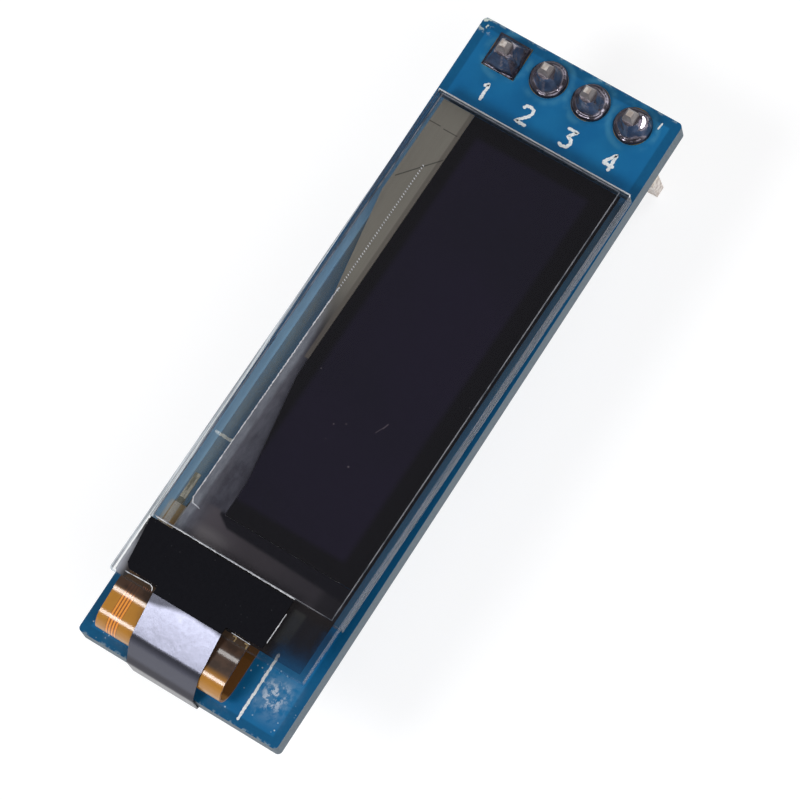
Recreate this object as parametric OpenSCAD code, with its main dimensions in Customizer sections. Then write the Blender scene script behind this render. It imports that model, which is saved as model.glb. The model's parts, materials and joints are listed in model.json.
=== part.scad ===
// A small OLED display module: a tilted glass panel on a narrow circuit board,
// with a folded flex tail, a cover tape and a four-way pin header.
//
// X runs along the board from the pins to the flex end, Y across it and Z up,
// out of the screen. The origin is the middle of the pin row, on the underside
// of the header housing, which is the face that seats on a socket.

/* [Board] */
// Width of the circuit board
board_w = 12; // [11.9:0.1:14]
// Thickness of the circuit board
board_t = 1.2; // [0.8:0.1:1.6]
// Radius of the board's corners
board_corner = 0.25; // [0.1:0.05:0.6]
// Distance from the pin row to the near end of the board
pin_edge = 1.35; // [1.3:0.05:2.2]
// Distance from the outermost point of the flex bend to the far end
end_margin = 0.48; // [0.4:0.02:1.2]
// Thickness of the copper lands on both faces
copper_t = 0.05; // [0.03:0.01:0.08]

/* [Pin header] */
// Distance from pin to pin
pin_pitch = 2.54; // [2.3:0.02:2.6]
// Side of the square pins
pin_side = 0.64; // [0.5:0.02:0.7]
// Height of the plastic housing
housing_h = 2.54; // [2:0.02:3]
// Width of the plastic housing along the board
housing_w = 2.5; // [2:0.05:2.6]
// Corner cut between one position of the housing and the next
housing_notch = 0.45; // [0.2:0.05:0.7]
// Length of the pins above the board
pin_above = 1.8; // [1.5:0.05:2.4]
// Length of the pins below the housing
pin_below = 6; // [4:0.1:8]
// Bevel on both ends of a pin
pin_bevel = 0.16; // [0.05:0.01:0.2]
// Lean of the last pin's free length, in degrees
pin_lean = 3.8; // [0:0.2:5]
// Direction of that lean, in degrees from +X
pin_lean_way = 128; // [90:1:180]
// Diameter of the drilled holes
hole_d = 1.04; // [1.04:0.02:1.2]
// Thickness of the plated wall of a hole
plating_t = 0.04; // [0.02:0.01:0.05]
// Width of the square land around the first hole
land_w = 1.95; // [1.7:0.05:2.1]
// Diameter of the round lands around the other holes
ring_d = 2.05; // [1.7:0.05:2.1]
// Height of the solder on the pins
solder_h = 1.2; // [0.8:0.05:1.4]
// Height of the rounded rim round the foot of the solder
solder_rim = 0.26; // [0.1:0.02:0.3]
// How much the solder is hollowed between its rim and the pin
solder_pull = 1.3; // [1:0.1:2.4]
// Thickness of the solder where it ends against a pin
solder_lip = 0.15; // [0.15:0.01:0.3]

/* [Panel] */
// Distance from the pin row to the lower near edge of the panel
panel_start = 3.6; // [3:0.1:5]
// Length of the front glass
panel_len = 30; // [28:0.5:34]
// Width of both glasses
panel_w = 11.5; // [11:0.1:11.9]
// Sideways place of the panel's middle
panel_shift = 0.26; // [0:0.02:0.3]
// Rise of the panel towards the flex end, in degrees
panel_tilt = 2.85; // [1.5:0.05:4]
// Height of the panel's near edge above the board
panel_lift = 0.22; // [0.1:0.02:0.4]
// Length of the ledge of front glass that the rear glass leaves bare
ledge_len = 3.4; // [3.2:0.1:4.5]
// Thickness of the front glass
front_glass_t = 0.55; // [0.4:0.05:0.7]
// Thickness of the rear glass
rear_glass_t = 0.5; // [0.4:0.05:0.7]
// Depth of the pocket etched into the rear glass
pocket_depth = 0.25; // [0.2:0.01:0.3]
// Width of the glue line between the glasses
seal_w = 1.1; // [0.8:0.1:1.4]
// Thickness of the glue line
seal_t = 0.05; // [0.03:0.01:0.1]
// Thickness of the light-emitting and lead layers under the front glass
film_t = 0.04; // [0.02:0.01:0.06]
// Thickness of the drying sheet in the pocket
desiccant_t = 0.15; // [0.1:0.01:0.18]
// Thickness of the polarizer
polarizer_t = 0.2; // [0.1:0.05:0.3]
// Bare glass beyond the polarizer at the near end
polarizer_rim_near = 0.2; // [0.1:0.02:0.5]
// Bare glass beside the polarizer at the -Y side
polarizer_rim = 0.36; // [0.2:0.02:0.5]
// Bare glass beside the polarizer at the +Y side
polarizer_rim_far = 0.48; // [0.2:0.02:0.6]

/* [Screen] */
// Length of the dark screen area
screen_len = 24.65; // [22:0.05:25.5]
// Distance from the middle of the panel to the -Y edge of the dark area
screen_side = 3.5; // [3:0.05:4]
// Height of the slanted corner of the dark area
screen_slant = 1; // [0.4:0.05:1.2]
// Distance from the middle of the panel to the outer edge of the lead band
lead_side = 4.36; // [4.2:0.02:4.8]
// Length over which the lead band stays at its full width
lead_wide_len = 6; // [4:0.5:9]
// Bare glass between the lead band and the end of the ledge
lead_rim = 0.4; // [0.3:0.05:0.8]

/* [Driver chip] */
// Length of the bare driver chip across the ledge
driver_len = 8.4; // [6:0.1:8.5]
// Width of the bare driver chip
driver_w = 0.9; // [0.7:0.05:1.1]
// Thickness of the bare driver chip
driver_t = 0.3; // [0.2:0.05:0.4]
// Distance from the rear glass to the driver chip
driver_gap = 0.5; // [0.3:0.05:0.7]

/* [Flex] */
// Width of the flex
flex_w = 7.5; // [6:0.1:8]
// Thickness of the flex
flex_t = 0.12; // [0.08:0.01:0.16]
// Sideways place of the flex's middle
flex_mid = -1.2; // [-1.2:0.05:-0.8]
// Length of the flex glued under the ledge
flex_bond = 1.3; // [1:0.05:1.5]
// Straight length between the glass and the first dip
flex_lead = 0.3; // [0.1:0.05:0.6]
// Steepest slope of the dip next to the glass, in degrees
dip_slope = 19; // [12:1:26]
// Radius of the dip's outward curve
dip_radius = 0.8; // [0.5:0.05:1.2]
// Radius of the dip's inward curve
sag_radius = 1.2; // [0.8:0.1:1.6]
// Slope of the shoulder between the dip and the main bend, in degrees
shoulder_slope = 6; // [2:1:10]
// Length of the shoulder
shoulder_len = 0.85; // [0.5:0.01:1.2]
// Width of the soldered tail
tail_w = 8.9; // [8.7:0.1:9.2]
// Distance from the panel's far end back to the end of the tail
tail_reach = 5; // [4.5:0.1:7]
// Length of the wide part of the tail
tail_wide_len = 3; // [2.5:0.1:4]
// Distance between the soldered contacts
contact_pitch = 0.62; // [0.5:0.01:0.62]
// Width of a soldered contact
contact_w = 0.34; // [0.2:0.01:0.4]
// Length of a land in front of the tail
land_bare = 1.8; // [0.8:0.1:2]
// Length of a land under the tail
land_covered = 1.4; // [0.8:0.1:1.8]
// Length of the solder that shows in front of the tail
contact_fillet = 0.35; // [0.2:0.05:0.5]

/* [Cover tape] */
// Thickness of the cover tape
tape_t = 0.08; // [0.05:0.01:0.12]
// Gap between the polarizer and the tape
tape_gap = 0.15; // [0.1:0.05:0.5]
// Bare glass beside the tape at the -Y side, next to the polarizer
tape_rim_side = 0.3; // [0:0.05:0.6]
// How much that bare glass widens towards the end of the ledge
tape_side_skew = 0.35; // [0:0.05:0.6]
// Bare glass between the wide part of the tape and the end of the ledge
tape_rim = 0.4; // [0.3:0.05:0.8]
// Width of the tape next to the polarizer
tape_w = 8.55; // [7:0.05:9]
// Size of the cut corner of the tape at the -Y side
tape_corner = 0.25; // [0.1:0.05:0.5]
// Width of the tongue that goes down to the board
tongue_w = 4.1; // [3:0.1:5]
// Sideways place of the tongue's middle
tongue_mid = -0.8; // [-1:0.05:-0.5]
// How much narrower the tongue is where it turns under the board
tongue_taper = 0.25; // [0:0.05:0.6]
// Slope of the tongue on its way down, in degrees
tongue_slope = 59; // [56:1:66]
// Distance between the board's end and the tongue
tongue_stand = 0.1; // [0.1:0.05:0.3]
// Radius where the tongue turns down past the board's edge
tongue_turn = 0.5; // [0.3:0.05:0.6]
// Radius where the tongue turns under the board
tongue_under_radius = 0.2; // [0.15:0.01:0.2]
// Length of the tongue stuck under the board
tongue_under_len = 2.2; // [1:0.1:3]

/* [Adhesive pads] */
// Distance from the panel's near edge to the first pad
near_pad_start = 0.8; // [0.5:0.1:1.5]
// Length of the first pad
near_pad_len = 3.4; // [2:0.1:5]
// Distance from the panel's near edge to the foam pad
foam_start = 11.5; // [8:0.5:13]
// Length of the foam pad
foam_len = 9.5; // [6:0.5:11]
// Width of both pads
pad_w = 7.6; // [6:0.2:8]
// Sideways place of both pads' middle
pad_mid = 1.1; // [0.6:0.1:1.4]

/* [Parts on the back] */
// Length of a chip capacitor or resistor
chip_len = 1.6; // [1.4:0.05:1.8]
// Width of a chip capacitor or resistor
chip_w = 0.8; // [0.6:0.05:1]
// Height of a chip capacitor
capacitor_h = 0.8; // [0.6:0.05:0.9]
// Height of a chip resistor
resistor_h = 0.45; // [0.35:0.05:0.6]
// Length of the metal caps on a chip
chip_cap = 0.3; // [0.2:0.05:0.4]
// Length of a chip's land that shows beyond the chip
chip_land = 0.4; // [0.3:0.05:0.5]
// Distance between neighbours in a row of chips
chip_pitch = 1.7; // [1.5:0.05:2]
// Length of the regulator's body
regulator_len = 2.9; // [2.7:0.05:3.1]
// Width of the regulator's body
regulator_w = 1.3; // [1.2:0.05:1.5]
// Height of the regulator's body
regulator_h = 0.95; // [0.8:0.05:1.1]
// Distance between the two leads on one side of the regulator
lead_pitch = 1.9; // [1.8:0.05:2]
// Width of a regulator lead
lead_w = 0.4; // [0.3:0.05:0.5]
// Reach of a regulator lead beyond the body
lead_reach = 0.6; // [0.5:0.05:0.8]
// Thickness of a regulator lead
lead_t = 0.12; // [0.1:0.01:0.16]
// Length of the foot of a regulator lead
lead_foot = 0.4; // [0.3:0.05:0.45]
// Length of the regulator's lands beyond the leads
lead_land = 0.3; // [0.2:0.05:0.4]

/* [Hidden] */
$fn = 48;

// Cuts run this far past the faces that they go through.
past = 1;
// Free space between a hole and what passes through it.
slip = 0.02;

// Heights of the stack, from the seat of the header up.
board_bottom = housing_h;
board_top = board_bottom + board_t;

// Heights inside the panel, from the underside of the rear glass up.
seal_base = rear_glass_t;
film_base = seal_base + seal_t;
glass_base = film_base + film_t;
glass_top = glass_base + front_glass_t;
cap_len = panel_len - ledge_len;
polarizer_end = cap_len;

// Positions along the pin row: the nth pin, counted from -Y.
pin_count = 4;
function pin_y(n) = (n - (pin_count + 1) / 2) * pin_pitch;

// Paths in the XZ plane are lists of stations, each [point, heading].
function ahead(a) = [cos(a), sin(a)];
function leftward(a) = [-sin(a), cos(a)];
function straight(s, d) = [s[0] + d * ahead(s[1]), s[1]];
function turned(s, r, a) =
    let (centre = s[0] + sign(a) * r * leftward(s[1]))
    [centre - sign(a) * r * leftward(s[1] + a), s[1] + a];
function bend(s, r, a, steps) = [for (i = [1:steps]) turned(s, r, a * i / steps)];
function last(list) = list[len(list) - 1];

// A point of the tilted panel in the XZ plane: u along it and w up through it.
function panel_point(u, w) =
    [panel_start, board_top + panel_lift] + u * ahead(panel_tilt) + w * leftward(panel_tilt);

// Middle line of the flex: under the ledge, dip, shoulder, main bend and leg.
leg_z = board_top + copper_t + flex_t / 2;
flex_start = [panel_point(panel_len - flex_bond, film_base - flex_t / 2), panel_tilt];
flex_out = straight(flex_start, flex_bond + flex_lead);
flex_dip = bend(flex_out, dip_radius, -(panel_tilt + dip_slope), 8);
flex_sag = bend(last(flex_dip), sag_radius, dip_slope - shoulder_slope, 5);
flex_shoulder = straight(last(flex_sag), shoulder_len);
bend_radius = (flex_shoulder[0][1] - leg_z) / (1 + cos(shoulder_slope));
bend_centre = flex_shoulder[0] - bend_radius * leftward(-shoulder_slope);
flex_bend = bend(flex_shoulder, bend_radius, -(180 - shoulder_slope), 36);
tail_x = panel_point(panel_len, 0)[0] - tail_reach;
flex_end = straight(last(flex_bend), last(flex_bend)[0][0] - tail_x);
flex_path = concat([flex_start, flex_out], flex_dip, flex_sag, [flex_shoulder], flex_bend, [flex_end]);

// Ends of the board.
board_near = -pin_edge;
board_far = bend_centre[0] + bend_radius + flex_t / 2 + end_margin;

// Middle line of the tape's tongue: along the ledge, down over the flex bend,
// past the end of the board and back under it.
tape_start_u = polarizer_end + tape_gap;
tape_end_u = panel_len - tape_rim;
tongue_start = [panel_point(tape_start_u, glass_top + tape_t / 2), panel_tilt];
tongue_edge = straight(tongue_start, panel_len - tape_start_u);
edge_radius = tape_t / 2;
wrap_radius = bend_radius + (flex_t + tape_t) / 2 + slip;
edge_to_bend = bend_centre - panel_point(panel_len, glass_top);
span = norm(edge_to_bend);
span_slip = asin((wrap_radius - edge_radius) / span);
span_heading = atan2(edge_to_bend[1], edge_to_bend[0]) + span_slip;
tongue_fold = bend(tongue_edge, edge_radius, span_heading - panel_tilt, 6);
tongue_span = straight(last(tongue_fold), span * cos(span_slip));
tongue_wrap = bend(tongue_span, wrap_radius, -(tongue_slope + span_heading), 12);
hang_x = board_far + tongue_stand + tape_t / 2;
slide_dx = hang_x - last(tongue_wrap)[0][0] - tongue_turn * (1 - sin(tongue_slope));
tongue_slide = straight(last(tongue_wrap), slide_dx / cos(tongue_slope));
tongue_down = bend(tongue_slide, tongue_turn, tongue_slope - 90, 6);
under_z = board_bottom - slip - tape_t / 2;
tongue_hang = straight(last(tongue_down), last(tongue_down)[0][1] - under_z - tongue_under_radius);
tongue_under = bend(tongue_hang, tongue_under_radius, -90, 10);
tongue_end = straight(last(tongue_under), tongue_under_len);
tongue_path = concat(
    [tongue_start, tongue_edge], tongue_fold, [tongue_span], tongue_wrap,
    [tongue_slide], tongue_down, [tongue_hang], tongue_under, [tongue_end]
);

// Row of contacts at the tail.
contact_count = 14;
function contact_y(i) = flex_mid + (i - (contact_count - 1) / 2) * contact_pitch;

// Chips on the back, each [name, x, y, turned a quarter]. The rows stand on a
// grid that starts where the panel does.
back_x = panel_start + 2.4;
row_y = 3.9;
function grid(column) = back_x + column * chip_pitch;
CAPACITORS = [
    ["capacitor_1", grid(0), row_y, true],
    ["capacitor_2", grid(1), row_y, true],
    ["capacitor_3", grid(9), row_y, true],
    ["capacitor_4", grid(10), row_y, true],
    ["capacitor_5", grid(11), row_y, true],
    ["capacitor_6", grid(12), row_y, true],
    ["capacitor_7", grid(9), -row_y, true]
];
RESISTORS = [
    ["resistor_1", grid(3), row_y, true],
    ["resistor_2", grid(4), row_y, true],
    ["resistor_3", grid(10), -row_y, true],
    ["resistor_4", grid(13), row_y, true]
];
CHIPS = concat(CAPACITORS, RESISTORS);
regulator_x = grid(1.5);
regulator_y = -2.9;
fillet_h = 0.3;

// ---------------------------------------------------------------- helpers

// A block between two corners.
module block(low, high) {
    translate(low) cube(high - low);
}

// Carries what is drawn in the panel's own frame (u, v, w) to its place.
module on_panel() {
    translate([panel_start, panel_shift, board_top + panel_lift])
        rotate([0, -panel_tilt, 0]) children();
}

// Extrudes a shape of the XZ plane across the board.
module across(width, middle) {
    translate([0, middle, 0]) rotate([90, 0, 0])
        linear_extrude(width, center = true) children();
}

// A band of even thickness along a path.
module ribbon(path, thickness) {
    half = thickness / 2;
    polygon(concat(
        [for (s = path) s[0] + half * leftward(s[1])],
        [for (i = [len(path) - 1:-1:0]) path[i][0] - half * leftward(path[i][1])]
    ));
}

// Flat outline of a rectangle with rounded corners.
module rounded_rectangle(low, high, r) {
    translate([low[0] + r, low[1]]) square([high[0] - low[0] - 2 * r, high[1] - low[1]]);
    translate([low[0], low[1] + r]) square([high[0] - low[0], high[1] - low[1] - 2 * r]);
    for (x = [low[0] + r, high[0] - r], y = [low[1] + r, high[1] - r])
        translate([x, y]) circle(r);
}

// ------------------------------------------------------------------ board

module circuit_board() {
    color([0.05, 0.38, 0.60])
        difference() {
            translate([0, 0, board_bottom]) linear_extrude(board_t)
                rounded_rectangle([board_near, -board_w / 2], [board_far, board_w / 2], board_corner);
            for (n = [1:pin_count])
                translate([0, pin_y(n), board_bottom - past]) cylinder(h = board_t + 2 * past, d = hole_d);
        }
}

// Land and plated wall of one hole. Pin 1 has a square land on the top face.
module hole_plating(n) {
    color([0.80, 0.66, 0.36])
        translate([0, pin_y(n), 0]) difference() {
            union() {
                translate([0, 0, board_top]) {
                    if (n == 1) translate([-land_w / 2, -land_w / 2, 0]) cube([land_w, land_w, copper_t]);
                    else cylinder(h = copper_t, d = ring_d);
                }
                translate([0, 0, board_bottom]) cylinder(h = board_t + copper_t, d = hole_d);
            }
            translate([0, 0, board_bottom - past])
                cylinder(h = board_t + 2 * past, d = hole_d - 2 * plating_t);
        }
}

// -------------------------------------------------------------- pin header

// One position of the housing, seen from above: a square with cut corners.
module housing_position() {
    half_x = housing_w / 2;
    half_y = pin_pitch / 2;
    cut = housing_notch;
    polygon([
        [half_x - cut, -half_y], [half_x, -half_y + cut], [half_x, half_y - cut], [half_x - cut, half_y],
        [cut - half_x, half_y], [-half_x, half_y - cut], [-half_x, cut - half_y], [cut - half_x, -half_y]
    ]);
}

module header_housing() {
    hole = pin_side + 2 * slip;
    color([0.05, 0.05, 0.05])
        difference() {
            linear_extrude(housing_h)
                for (n = [1:pin_count]) translate([0, pin_y(n)]) housing_position();
            for (n = [1:pin_count])
                translate([-hole / 2, pin_y(n) - hole / 2, -past]) cube([hole, hole, housing_h + 2 * past]);
        }
}

// Side view of a pin with bevelled ends.
module pin_outline() {
    low = -pin_below;
    high = board_top + pin_above;
    half = pin_side / 2;
    tip = half - pin_bevel;
    slope = 2 * pin_bevel;
    polygon([
        [-tip, low], [tip, low], [half, low + slope], [half, high - slope],
        [tip, high], [-tip, high], [-half, high - slope], [-half, low + slope]
    ]);
}

// A straight pin, cut off below or above the given height.
module pin_bar(low, high) {
    intersection() {
        across(2 * pin_side, 0) pin_outline();
        rotate([0, 0, 90]) across(2 * pin_side, 0) pin_outline();
        block([-pin_side, -pin_side, low], [pin_side, pin_side, high]);
    }
}

// The last pin is bent a little where it leaves the housing.
module header_pin(n) {
    low = -pin_below - past;
    high = board_top + pin_above + past;
    bend_start = -pin_side / 10;
    bend_end = -pin_side / 5;
    color([0.83, 0.76, 0.58])
        translate([0, pin_y(n), 0]) {
            if (n == pin_count) {
                pin_bar(bend_end, high);
                rotate([0, 0, pin_lean_way]) rotate([0, -pin_lean, 0]) rotate([0, 0, -pin_lean_way])
                    pin_bar(low, bend_start);
            } else pin_bar(low, high);
        }
}

// Half widths of the solder from its foot up, each [half width, height]. It has
// a rounded rim and is hollowed between the rim and the pin.
function solder_side(foot, rim) =
    let (top = pin_side / 2 + solder_lip, inner = foot - rim)
    concat(
        [for (a = [0:30:90]) [foot - rim * (1 - cos(a)), rim * sin(a)]],
        [for (t = [0.2:0.2:1]) [inner + (top - inner) * t, rim + (solder_h - rim) * pow(t, solder_pull)]]
    );

module solder_joint(n) {
    foot = (n == 1 ? land_w : ring_d) / 2;
    side = solder_side(foot, n == 1 ? solder_rim / 2 : solder_rim);
    color([0.55, 0.56, 0.60])
        translate([0, pin_y(n), board_top + copper_t]) difference() {
            if (n == 1) {
                tent = concat(side, [for (i = [len(side) - 1:-1:0]) [-side[i][0], side[i][1]]]);
                intersection() {
                    across(2 * land_w, 0) polygon(tent);
                    rotate([0, 0, 90]) across(2 * land_w, 0) polygon(tent);
                }
            } else {
                rotate_extrude() polygon(concat([[0, 0]], side, [[0, solder_h]]));
            }
            translate([-pin_side / 2, -pin_side / 2, -past]) cube([pin_side, pin_side, solder_h + 2 * past]);
        }
}

// ------------------------------------------------------------------- panel

// A pad that fills the wedge between the board and the tilted panel.
module wedge_pad(start, length) {
    near = panel_point(start, 0);
    far = panel_point(start + length, 0);
    across(pad_w, pad_mid)
        polygon([[near[0], board_top], [far[0], board_top], far, near]);
}

module near_adhesive_pad() {
    color([0.85, 0.82, 0.72]) wedge_pad(near_pad_start, near_pad_len);
}

module foam_pad() {
    color([0.15, 0.15, 0.16]) wedge_pad(foam_start, foam_len);
}

// Inner edges of the glue line, which are also those of the pocket.
pocket_low = [seal_w, -panel_w / 2 + seal_w];
pocket_high = [cap_len - seal_w, panel_w / 2 - seal_w];

module rear_glass() {
    floor_w = rear_glass_t - pocket_depth;
    color([0.75, 0.85, 0.90, 0.5])
        on_panel() difference() {
            block([0, -panel_w / 2, 0], [cap_len, panel_w / 2, rear_glass_t]);
            block(
                [pocket_low[0], pocket_low[1], floor_w],
                [pocket_high[0], pocket_high[1], rear_glass_t + past]
            );
        }
}

module desiccant_sheet() {
    rim = 0.4;
    floor_w = rear_glass_t - pocket_depth;
    color([0.90, 0.90, 0.88])
        on_panel() block(
            [pocket_low[0] + rim, pocket_low[1] + rim, floor_w],
            [pocket_high[0] - rim, pocket_high[1] - rim, floor_w + desiccant_t]
        );
}

module glass_seal() {
    color([0.80, 0.75, 0.55])
        on_panel() difference() {
            block([0, -panel_w / 2, seal_base], [cap_len, panel_w / 2, film_base]);
            block([pocket_low[0], pocket_low[1], 0], [pocket_high[0], pocket_high[1], film_base + past]);
        }
}

// Outline of the dark area, with the slanted corner towards the flex.
film_side = panel_w / 2 - polarizer_rim_far;
slant_start = screen_len - 8;
slant_end = screen_len - 2;
screen_outline = [
    [polarizer_rim_near, -screen_side], [slant_start, -screen_side],
    [slant_end, screen_slant - screen_side], [screen_len, screen_slant - screen_side],
    [screen_len, film_side], [polarizer_rim_near, film_side]
];

module screen_layer() {
    color([0.10, 0.09, 0.14])
        on_panel() translate([0, 0, film_base]) linear_extrude(film_t) polygon(screen_outline);
}

// Lead band beside and beyond the screen, which the chip and the flex are
// bonded under: wide near the pins, then tapering.
module lead_layer() {
    lead_end = panel_len - lead_rim;
    lead_full = panel_w / 2 - polarizer_rim;
    taper_end = 2 * lead_wide_len;
    lead_gap = 0.02;
    color([0.45, 0.44, 0.40])
        on_panel() translate([0, 0, film_base]) linear_extrude(film_t) difference() {
            polygon([
                [polarizer_rim_near, -lead_full], [lead_wide_len, -lead_full], [taper_end, -lead_side],
                [lead_end, -lead_side], [lead_end, film_side],
                [polarizer_rim_near, film_side]
            ]);
            grown_screen(lead_gap);
        }
}

// The dark area grown at its lead side and far end, to cut it from the band.
module grown_screen(gap) {
    polygon([
        [-past, -screen_side - gap], [slant_start, -screen_side - gap],
        [slant_end, screen_slant - screen_side - gap],
        [screen_len + gap, screen_slant - screen_side - gap],
        [screen_len + gap, panel_w], [-past, panel_w]
    ]);
}

module front_glass() {
    color([0.80, 0.88, 0.92, 0.5])
        on_panel() block([0, -panel_w / 2, glass_base], [panel_len, panel_w / 2, glass_top]);
}

module polarizer() {
    color([0.30, 0.30, 0.33, 0.7])
        on_panel() block(
            [polarizer_rim_near, -panel_w / 2 + polarizer_rim, glass_top],
            [polarizer_end, film_side, glass_top + polarizer_t]
        );
}

module driver_chip() {
    near = cap_len + driver_gap;
    middle = flex_mid - panel_shift;
    color([0.35, 0.36, 0.38])
        on_panel() block(
            [near, middle - driver_len / 2, film_base - driver_t],
            [near + driver_w, middle + driver_len / 2, film_base]
        );
}

// -------------------------------------------------------------------- flex

module flex_cable() {
    leg_low = board_top + copper_t;
    color([0.72, 0.42, 0.10]) {
        across(flex_w, flex_mid) ribbon(flex_path, flex_t);
        block(
            [tail_x, flex_mid - tail_w / 2, leg_low],
            [tail_x + tail_wide_len, flex_mid + tail_w / 2, leg_low + flex_t]
        );
    }
}

// Lands on the board under the tail.
module flex_lands() {
    color([0.80, 0.66, 0.36])
        for (i = [0:contact_count - 1]) {
            low = [tail_x - land_bare, contact_y(i) - contact_w / 2, board_top];
            block(low, low + [land_bare + land_covered, contact_w, copper_t]);
        }
}

// Solder that runs from each land up the end of the tail.
module flex_solder() {
    low = board_top + copper_t;
    color([0.62, 0.63, 0.66])
        for (i = [0:contact_count - 1])
            across(contact_w, contact_y(i))
                polygon([[tail_x - contact_fillet, low], [tail_x, low], [tail_x, low + flex_t]]);
}

// -------------------------------------------------------------- cover tape

// Outline of the tape on the ledge, cut a little out of square.
tape_low = -panel_w / 2 + tape_rim_side;
tape_corner_v = tape_low + tape_side_skew;
tape_outline = [
    [tape_start_u, tape_low], [tape_end_u - tape_corner, tape_corner_v],
    [tape_end_u, tape_corner_v + tape_corner], [tape_end_u, tape_low + tape_w],
    [tape_start_u, tape_low + tape_w]
];

// The tongue seen from the end of the board, narrower towards its lower end.
module tongue_front() {
    wide = tongue_w / 2;
    narrow = (tongue_w - tongue_taper) / 2;
    bend_z = last(tongue_wrap)[0][1];
    high = board_top + board_w;
    translate([0, tongue_mid, 0]) rotate([90, 0, 90]) linear_extrude(board_far + past)
        polygon([
            [-narrow, 0], [narrow, 0], [narrow, board_bottom], [wide, bend_z],
            [wide, high], [-wide, high], [-wide, bend_z], [-narrow, board_bottom]
        ]);
}

module cover_tape() {
    color([0.09, 0.09, 0.10]) {
        intersection() {
            across(tongue_w, tongue_mid) ribbon(tongue_path, tape_t);
            tongue_front();
        }
        on_panel() translate([0, 0, glass_top]) linear_extrude(tape_t) polygon(tape_outline);
    }
}

// ------------------------------------------------------- parts on the back

// Puts what is drawn above z = 0 under the board, at a chip's place.
module under_board(x, y, quarter) {
    translate([x, y, board_bottom]) mirror([0, 0, 1]) rotate([0, 0, quarter ? 90 : 0]) children();
}

module chip(place, height, shade) {
    color(shade)
        under_board(place[1], place[2], place[3])
            translate([-chip_len / 2, -chip_w / 2, copper_t]) cube([chip_len, chip_w, height]);
}

// Gull-wing lead, drawn from the middle of the body outwards along +X.
module regulator_lead() {
    t = lead_t;
    knee = regulator_h / 2;
    edge = regulator_w / 2;
    toe = edge + lead_reach;
    heel = toe - lead_foot;
    across(lead_w, 0) polygon([
        [edge, knee], [heel, knee], [heel + t, copper_t + t], [toe, copper_t + t],
        [toe, copper_t], [heel, copper_t], [heel - t, knee - t], [edge, knee - t]
    ]);
}

// Places for the three leads: two on one side and one on the other.
module at_leads() {
    translate([0, lead_pitch / 2, 0]) children();
    translate([0, -lead_pitch / 2, 0]) children();
    rotate([0, 0, 180]) children();
}

module voltage_regulator() {
    base = copper_t + slip;
    under_board(regulator_x, regulator_y, true) {
        color([0.08, 0.08, 0.09])
            block([-regulator_w / 2, -regulator_len / 2, base],
                [regulator_w / 2, regulator_len / 2, base + regulator_h]);
        color([0.75, 0.76, 0.78]) at_leads() regulator_lead();
    }
}

// Lands under the ends of every chip and every regulator lead.
module chip_lands() {
    land_len = chip_cap + chip_land;
    toe = regulator_w / 2 + lead_reach;
    color([0.75, 0.76, 0.78]) {
        for (place = CHIPS) under_board(place[1], place[2], place[3])
            for (end = [0, 180]) rotate([0, 0, end])
                translate([chip_len / 2 - chip_cap, -chip_w / 2, 0]) cube([land_len, chip_w, copper_t]);
        under_board(regulator_x, regulator_y, true) at_leads()
            block([toe - lead_foot - slip, -lead_w, 0], [toe + lead_land, lead_w, copper_t]);
    }
}

// Solder wedge between a land and the end of each chip.
module chip_solder() {
    reach = chip_land * 0.8;
    color([0.62, 0.63, 0.66])
        for (place = CHIPS) under_board(place[1], place[2], place[3])
            for (end = [0, 180]) rotate([0, 0, end]) translate([chip_len / 2, 0, copper_t])
                across(chip_w, 0) polygon([[0, 0], [reach, 0], [reach / 3, fillet_h / 3], [0, fillet_h]]);
}

// ------------------------------------------------------------------- nodes

circuit_board();
for (n = [1:pin_count]) {
    hole_plating(n);
    header_pin(n);
    solder_joint(n);
}
header_housing();
near_adhesive_pad();
foam_pad();
rear_glass();
desiccant_sheet();
glass_seal();
screen_layer();
lead_layer();
front_glass();
polarizer();
driver_chip();
flex_cable();
flex_lands();
flex_solder();
cover_tape();
chip_lands();
chip_solder();
voltage_regulator();
for (place = CAPACITORS)
    chip(place, capacitor_h, [0.72, 0.60, 0.42]);
for (place = RESISTORS)
    chip(place, resistor_h, [0.10, 0.10, 0.11]);
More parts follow.
